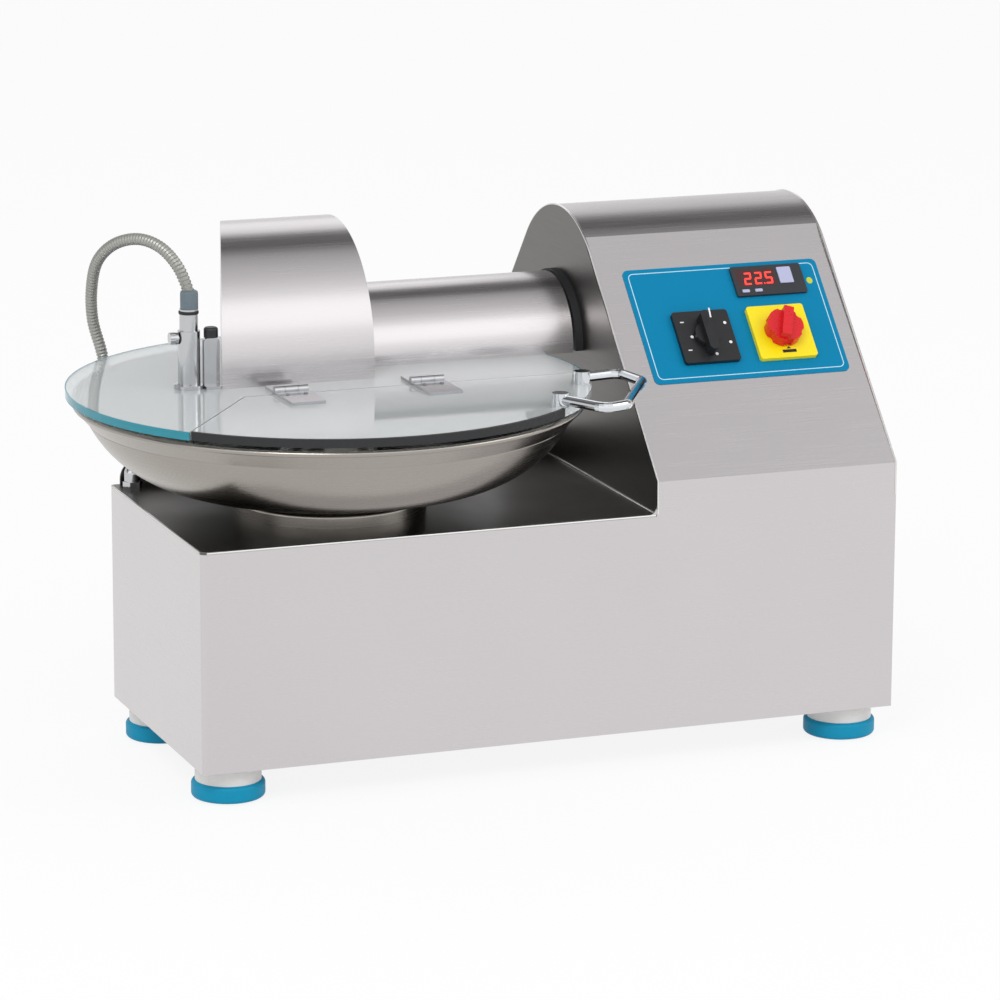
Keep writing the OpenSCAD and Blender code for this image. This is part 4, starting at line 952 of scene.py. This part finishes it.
@dataclass
class SheetEdges(Dressing):
    """Beads on the folded and welded edges of the sheet steel, in a lighter colour: a painted highlight where
    they catch the light.
    """

    edge_in: float = 1.0
    bead_r: float = 1.1
    bead_sides: int = 8
    crown_r: float = 118.2
    crown_from: float = 40.0
    crown_to: float = 135.0
    crown_steps: int = 40
    rear_deg: float = 50.0
    tower_back: float = 280.0
    fold_r: float = 1.3
    fold_sides: int = 10
    rim_corner: tuple[Pair, ...] = ((1.0, 6.0), (2.6, 2.6), (6.0, 1.0))
    rim_end: float = 5.0
    weld_r: float = 1.2
    weld_ripple: float = 0.35
    weld_steps: int = 78
    weld_end: float = 3.0
    weld_out: float = 0.4
    corner_r: float = 8.0
    corner_steps: int = 10
    corner_y: float = FRONT + 2.0
    corner_lap: float = 0.5
    sheet_t: float = 1.9

    def tower_line(self, x: float) -> list[Vector]:
        """Gives the tower's side outline, from the front fold over the crown to the back.

        Args:
            x: How far to the right it lies, in mm.

        Returns:
            Its points, in metres.
        """
        points = [row(x, FRONT, DECK_Z), row(x, FRONT, SLOPE_Z)]
        turns = [math.radians(a) for a in np.linspace(self.crown_to, self.crown_from, self.crown_steps)]
        crown = [
            row(x, SHAFT_Y + self.crown_r * math.cos(t), SHAFT_Z + self.crown_r * math.sin(t)) for t in turns
        ]
        last_y = SHAFT_Y + self.crown_r * math.cos(turns[-1])
        last_z = SHAFT_Z + self.crown_r * math.sin(turns[-1])
        low = last_z - (self.tower_back - last_y) * math.tan(math.radians(self.rear_deg))
        return [*points, *crown, row(x, self.tower_back, low), row(x, self.tower_back, DECK_Z)]

    def bead(self, name: str, path: Sequence[Vector], radii: Sequence[float], sides: int) -> None:
        """Makes one bead along an edge, in the lighter colour of the painted highlight.

        Args:
            name: The piece's name.
            path: Its line, in metres.
            radii: Its radius at each point, in mm.
            sides: How many faces go round it.
        """
        mesh = bmesh.new()
        tube(mesh, path, [r * MM for r in radii], sides)
        self.piece(name, mesh, "sheet_edge_painted_highlight", "base")

    def corner(self) -> None:
        """Makes the round inner corner of the front sheet, where the deck's edge meets the tower."""
        turns = [math.radians(a) for a in np.linspace(360, 270, self.corner_steps)]
        x, z, r = TOWER_X - self.corner_r, DECK_Z + self.corner_r, self.corner_r
        outline = [row(TOWER_X + self.corner_lap, self.corner_y, DECK_Z - self.corner_lap)]
        outline += [row(x + r * math.cos(t), self.corner_y, z + r * math.sin(t)) for t in turns]
        mesh = bmesh.new()
        slab(mesh, outline, Vector((0.0, -1.0, 0.0)), self.sheet_t)
        self.piece("deck_corner", mesh, "satin_stainless_sheet", "base", smooth=False)

    def build(self) -> None:
        """Makes the beads of the tower's sides, the deck's folded rim, the weld and the round corner."""
        sides = ("tower_left_edge", TOWER_X + self.edge_in), ("tower_right_edge", RIGHT - self.edge_in)
        for name, x in sides:
            line = self.tower_line(x)
            self.bead(name, line, [self.bead_r] * len(line), self.bead_sides)
        z = DECK_Z - self.edge_in
        rim = [row(LEFT + self.edge_in, DECK_BACK - self.rim_end, z)]
        rim += [row(LEFT + x, FRONT + y, z) for x, y in self.rim_corner]
        rim += [row(TOWER_X - self.edge_in, FRONT + self.edge_in, z)]
        self.bead("deck_fold", rim, [self.fold_r] * len(rim), self.fold_sides)
        along = np.linspace(FRONT + self.weld_end, DECK_BACK - self.weld_end, self.weld_steps)
        weld = [row(TOWER_X - self.weld_out, y, DECK_Z + self.weld_out) for y in along]
        radii = [self.weld_r + self.weld_ripple * (i % 2) for i in range(len(weld))]
        self.bead("wall_weld", weld, radii, self.bead_sides)
        self.corner()


@dataclass
class PanelFace(Dressing):
    """Printed lines of the blue panel, the lit digits and the marks round the switches."""

    panel: tuple[float, float, float, float] = (133.0, 345.0, 110.0, 245.0)
    inset: float = 5.0
    line_w: float = 0.9
    corner_r: float = 5.0
    panel_t: float = 1.0
    plate_t: float = 6.0
    window_out: float = 4.2
    ink_t: float = 0.12
    figures: str = "225"
    figure_at: Pair = (259.0, 216.5)
    figure_w: float = 8.2
    figure_h: float = 14.5
    figure_step: float = 11.6
    stroke: float = 1.9
    lean: float = 0.12
    tuck_share: float = 0.4
    segment_gap: float = 0.3
    point: Pair = (21.2, 1.4)
    dots: tuple[Pair, ...] = ((202, 185), (223.5, 173), (223.5, 150), (205, 137.5), (184, 159))
    dot_r: float = 1.7
    dot_sides: int = 12
    dashes: tuple[Pair, ...] = ((176, 176), (176, 143))
    dash: Pair = (4.0, 1.2)
    switch_bar: tuple[float, ...] = (276, 133, 15, 3.4)
    switch_arrow: tuple[Pair, ...] = ((281, 137.4), (286, 137.4), (283.5, 140))
    sticker: tuple[float, ...] = (332.0, 219.0, 3.2, 3.8)
    sticker_sides: int = 24

    def print_on(self, name: str, outlines: Sequence[Sequence[Pair]], out: float, ink: str) -> None:
        """Makes thin printed shapes on the slope.

        Args:
            name: The piece's name.
            outlines: Each shape's corners as x and s in mm.
            out: How far from the slope they lie.
            ink: The finish.
        """
        mesh = bmesh.new()
        for outline in outlines:
            slab(mesh, [on_slope(x, s, out) for x, s in outline], SLOPE_OUT, self.ink_t)
        self.piece(name, mesh, ink, "base", smooth=False)

    def pinstripe(self) -> None:
        """Makes the pale line inside the panel's edge."""
        x0, x1, s0, s1 = self.panel
        inner, outer = self.inset + self.line_w / 2, self.inset - self.line_w / 2
        near = rounded(x0 + outer, x1 - outer, s0 + outer, s1 - outer, self.corner_r + self.line_w)
        far = rounded(x0 + inner, x1 - inner, s0 + inner, s1 - inner, self.corner_r)
        pairs = list(zip(near, far))
        parts = [(a, c, d, b) for (a, b), (c, d) in zip(pairs, pairs[1:] + pairs[:1])]
        self.print_on("panel_pinstripe", parts, self.panel_t, "pale_printed_ink")

    def segment(self, which: str) -> Outline:
        """Gives one segment of a figure, upright, from the figure's lower left corner.

        Args:
            which: Its usual letter, from a at the top, clockwise to f, with g in the middle.

        Returns:
            Its corners, in mm.
        """
        w, h, t, gap = self.figure_w, self.figure_h, self.stroke, self.segment_gap
        if which in "agd":
            s = {"a": h - t, "g": h / 2 - t / 2, "d": 0.0}[which]
            return bar(t * self.tuck_share, s, w - t * 2 * self.tuck_share, t)
        x = w - t if which in "bc" else 0.0
        low, high = (h / 2 + gap, h - 2 * gap) if which in "bf" else (2 * gap, h / 2 - gap)
        return bar(x, low, t, high - low)

    def digits(self) -> None:
        """Makes the three lit figures of the thermometer and the point before the last."""
        lit = {"2": "abged", "5": "afgcd"}
        x0, s0 = self.figure_at
        bars = []
        for place, figure in enumerate(self.figures):
            left = x0 + place * self.figure_step
            for which in lit[figure]:
                bars.append([(left + x + self.lean * s, s0 + s) for x, s in self.segment(which)])
        reach, side = self.point
        bars.append(bar(x0 + reach, s0, side, side))
        self.print_on("display_digits", bars, self.window_out, "lit_red_segment")

    def marks(self) -> None:
        """Makes the white marks round the selector, the mark below the switch and the small sticker."""
        signs = [dot(x, s, self.dot_r, self.dot_r, self.dot_sides) for x, s in self.dots]
        signs += [bar(x, s, *self.dash) for x, s in self.dashes]
        self.print_on("selector_marks", signs, self.plate_t, "white_printed_ink")
        below = (bar(*self.switch_bar), self.switch_arrow)
        self.print_on("switch_mark", below, self.plate_t, "dark_ink_and_recess_shade")
        sticker = dot(*self.sticker, self.sticker_sides)
        self.print_on("panel_sticker", [sticker], self.panel_t, "yellow_printed_ink")

    def build(self) -> None:
        """Makes all that is printed or lit on the panel."""
        self.pinstripe()
        self.digits()
        self.marks()


@dataclass
class KnobPointer(Dressing):
    """White line on the selector's knob, which turns with it."""

    start: Pair = (201.2, 179.0)
    end: Pair = (200.2, 168.0)
    out: float = 26.3
    width: float = 1.6
    ink_t: float = 0.15

    def build(self) -> None:
        """Makes the line."""
        a, b = Vector((*self.start, 0)), Vector((*self.end, 0))
        side = (b - a).normalized().cross(UP) * self.width / 2
        corners = [a - side, a + side, b + side, b - side]
        mesh = bmesh.new()
        slab(mesh, [on_slope(c.x, c.y, self.out) for c in corners], SLOPE_OUT, self.ink_t)
        self.piece("selector_pointer", mesh, "white_printed_ink", "selector", smooth=False)


@dataclass
class Fasteners(Dressing):
    """All small screws and rivets of the machine, by the body that they ride on."""

    clips_x: Pair = (-237.0, -97.0)
    flap_y: float = -45.75
    leaf_reach: float = 18.0
    leaf_half: float = 9.0
    clip_t: float = 3.0
    flange_r: float = 12.8
    flange_t: float = 4.0
    flange_deg: tuple[float, ...] = (100.0, 180.0, 260.0)
    arms_x: Pair = (-118.0, -70.0)
    arms_y: Pair = (196.0, 214.0)
    arm_t: float = 6.0

    def clip_rows(self, side: int) -> list[tuple[Vector, Vector]]:
        """Gives two screws on each clip's leaf.

        Args:
            side: -1 for the leaves in front of the hinge, 1 for those behind it.

        Returns:
            Each screw's place and the way it faces.
        """
        return [
            (row(x + dx, self.flap_y + side * self.leaf_reach, LID_TOP + self.clip_t), UP)
            for x in self.clips_x
            for dx in (-self.leaf_half, self.leaf_half)
        ]

    def flange_ring(self) -> list[tuple[Vector, Vector]]:
        """Gives the three screws of the probe's flange.

        Returns:
            Each screw's place and the way it faces.
        """
        r, z = self.flange_r, LID_TOP + self.flange_t
        turns = [math.radians(d) for d in self.flange_deg]
        return [(row(PROBE_X + r * math.cos(t), PROBE_Y + r * math.sin(t), z), UP) for t in turns]

    def build(self) -> None:
        """Makes every set."""
        arms = [(row(x, y, LID_TOP + self.arm_t), UP) for x in self.arms_x for y in self.arms_y]
        for name, body, places, head_r, head_h in (
            ("flap_clip_screws", "flap", self.clip_rows(-1), 2.6, 1.0),
            ("lid_clip_screws", "lid", self.clip_rows(1), 2.6, 1.0),
            ("probe_screws", "lid", self.flange_ring(), 1.6, 0.9),
            ("hinge_arm_screws", "lid", arms, 3.2, 1.6),
        ):
            ScrewSet(self.paints, name, body, places, head_r, head_h).build()


def main() -> None:
    """Builds the studio, then the machine's looks, piece by piece."""
    logging.basicConfig(level=logging.INFO, format="%(name)s: %(message)s")
    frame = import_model()
    Studio().build()
    paints = Paints()
    ProbeHose(paints).build()
    paints.dress_nodes(frame["nodes"])
    for part in (HoseEnds, SheetEdges, PanelFace, KnobPointer, Fasteners):
        part(paints).build()


if __name__ == "__main__":
    main()
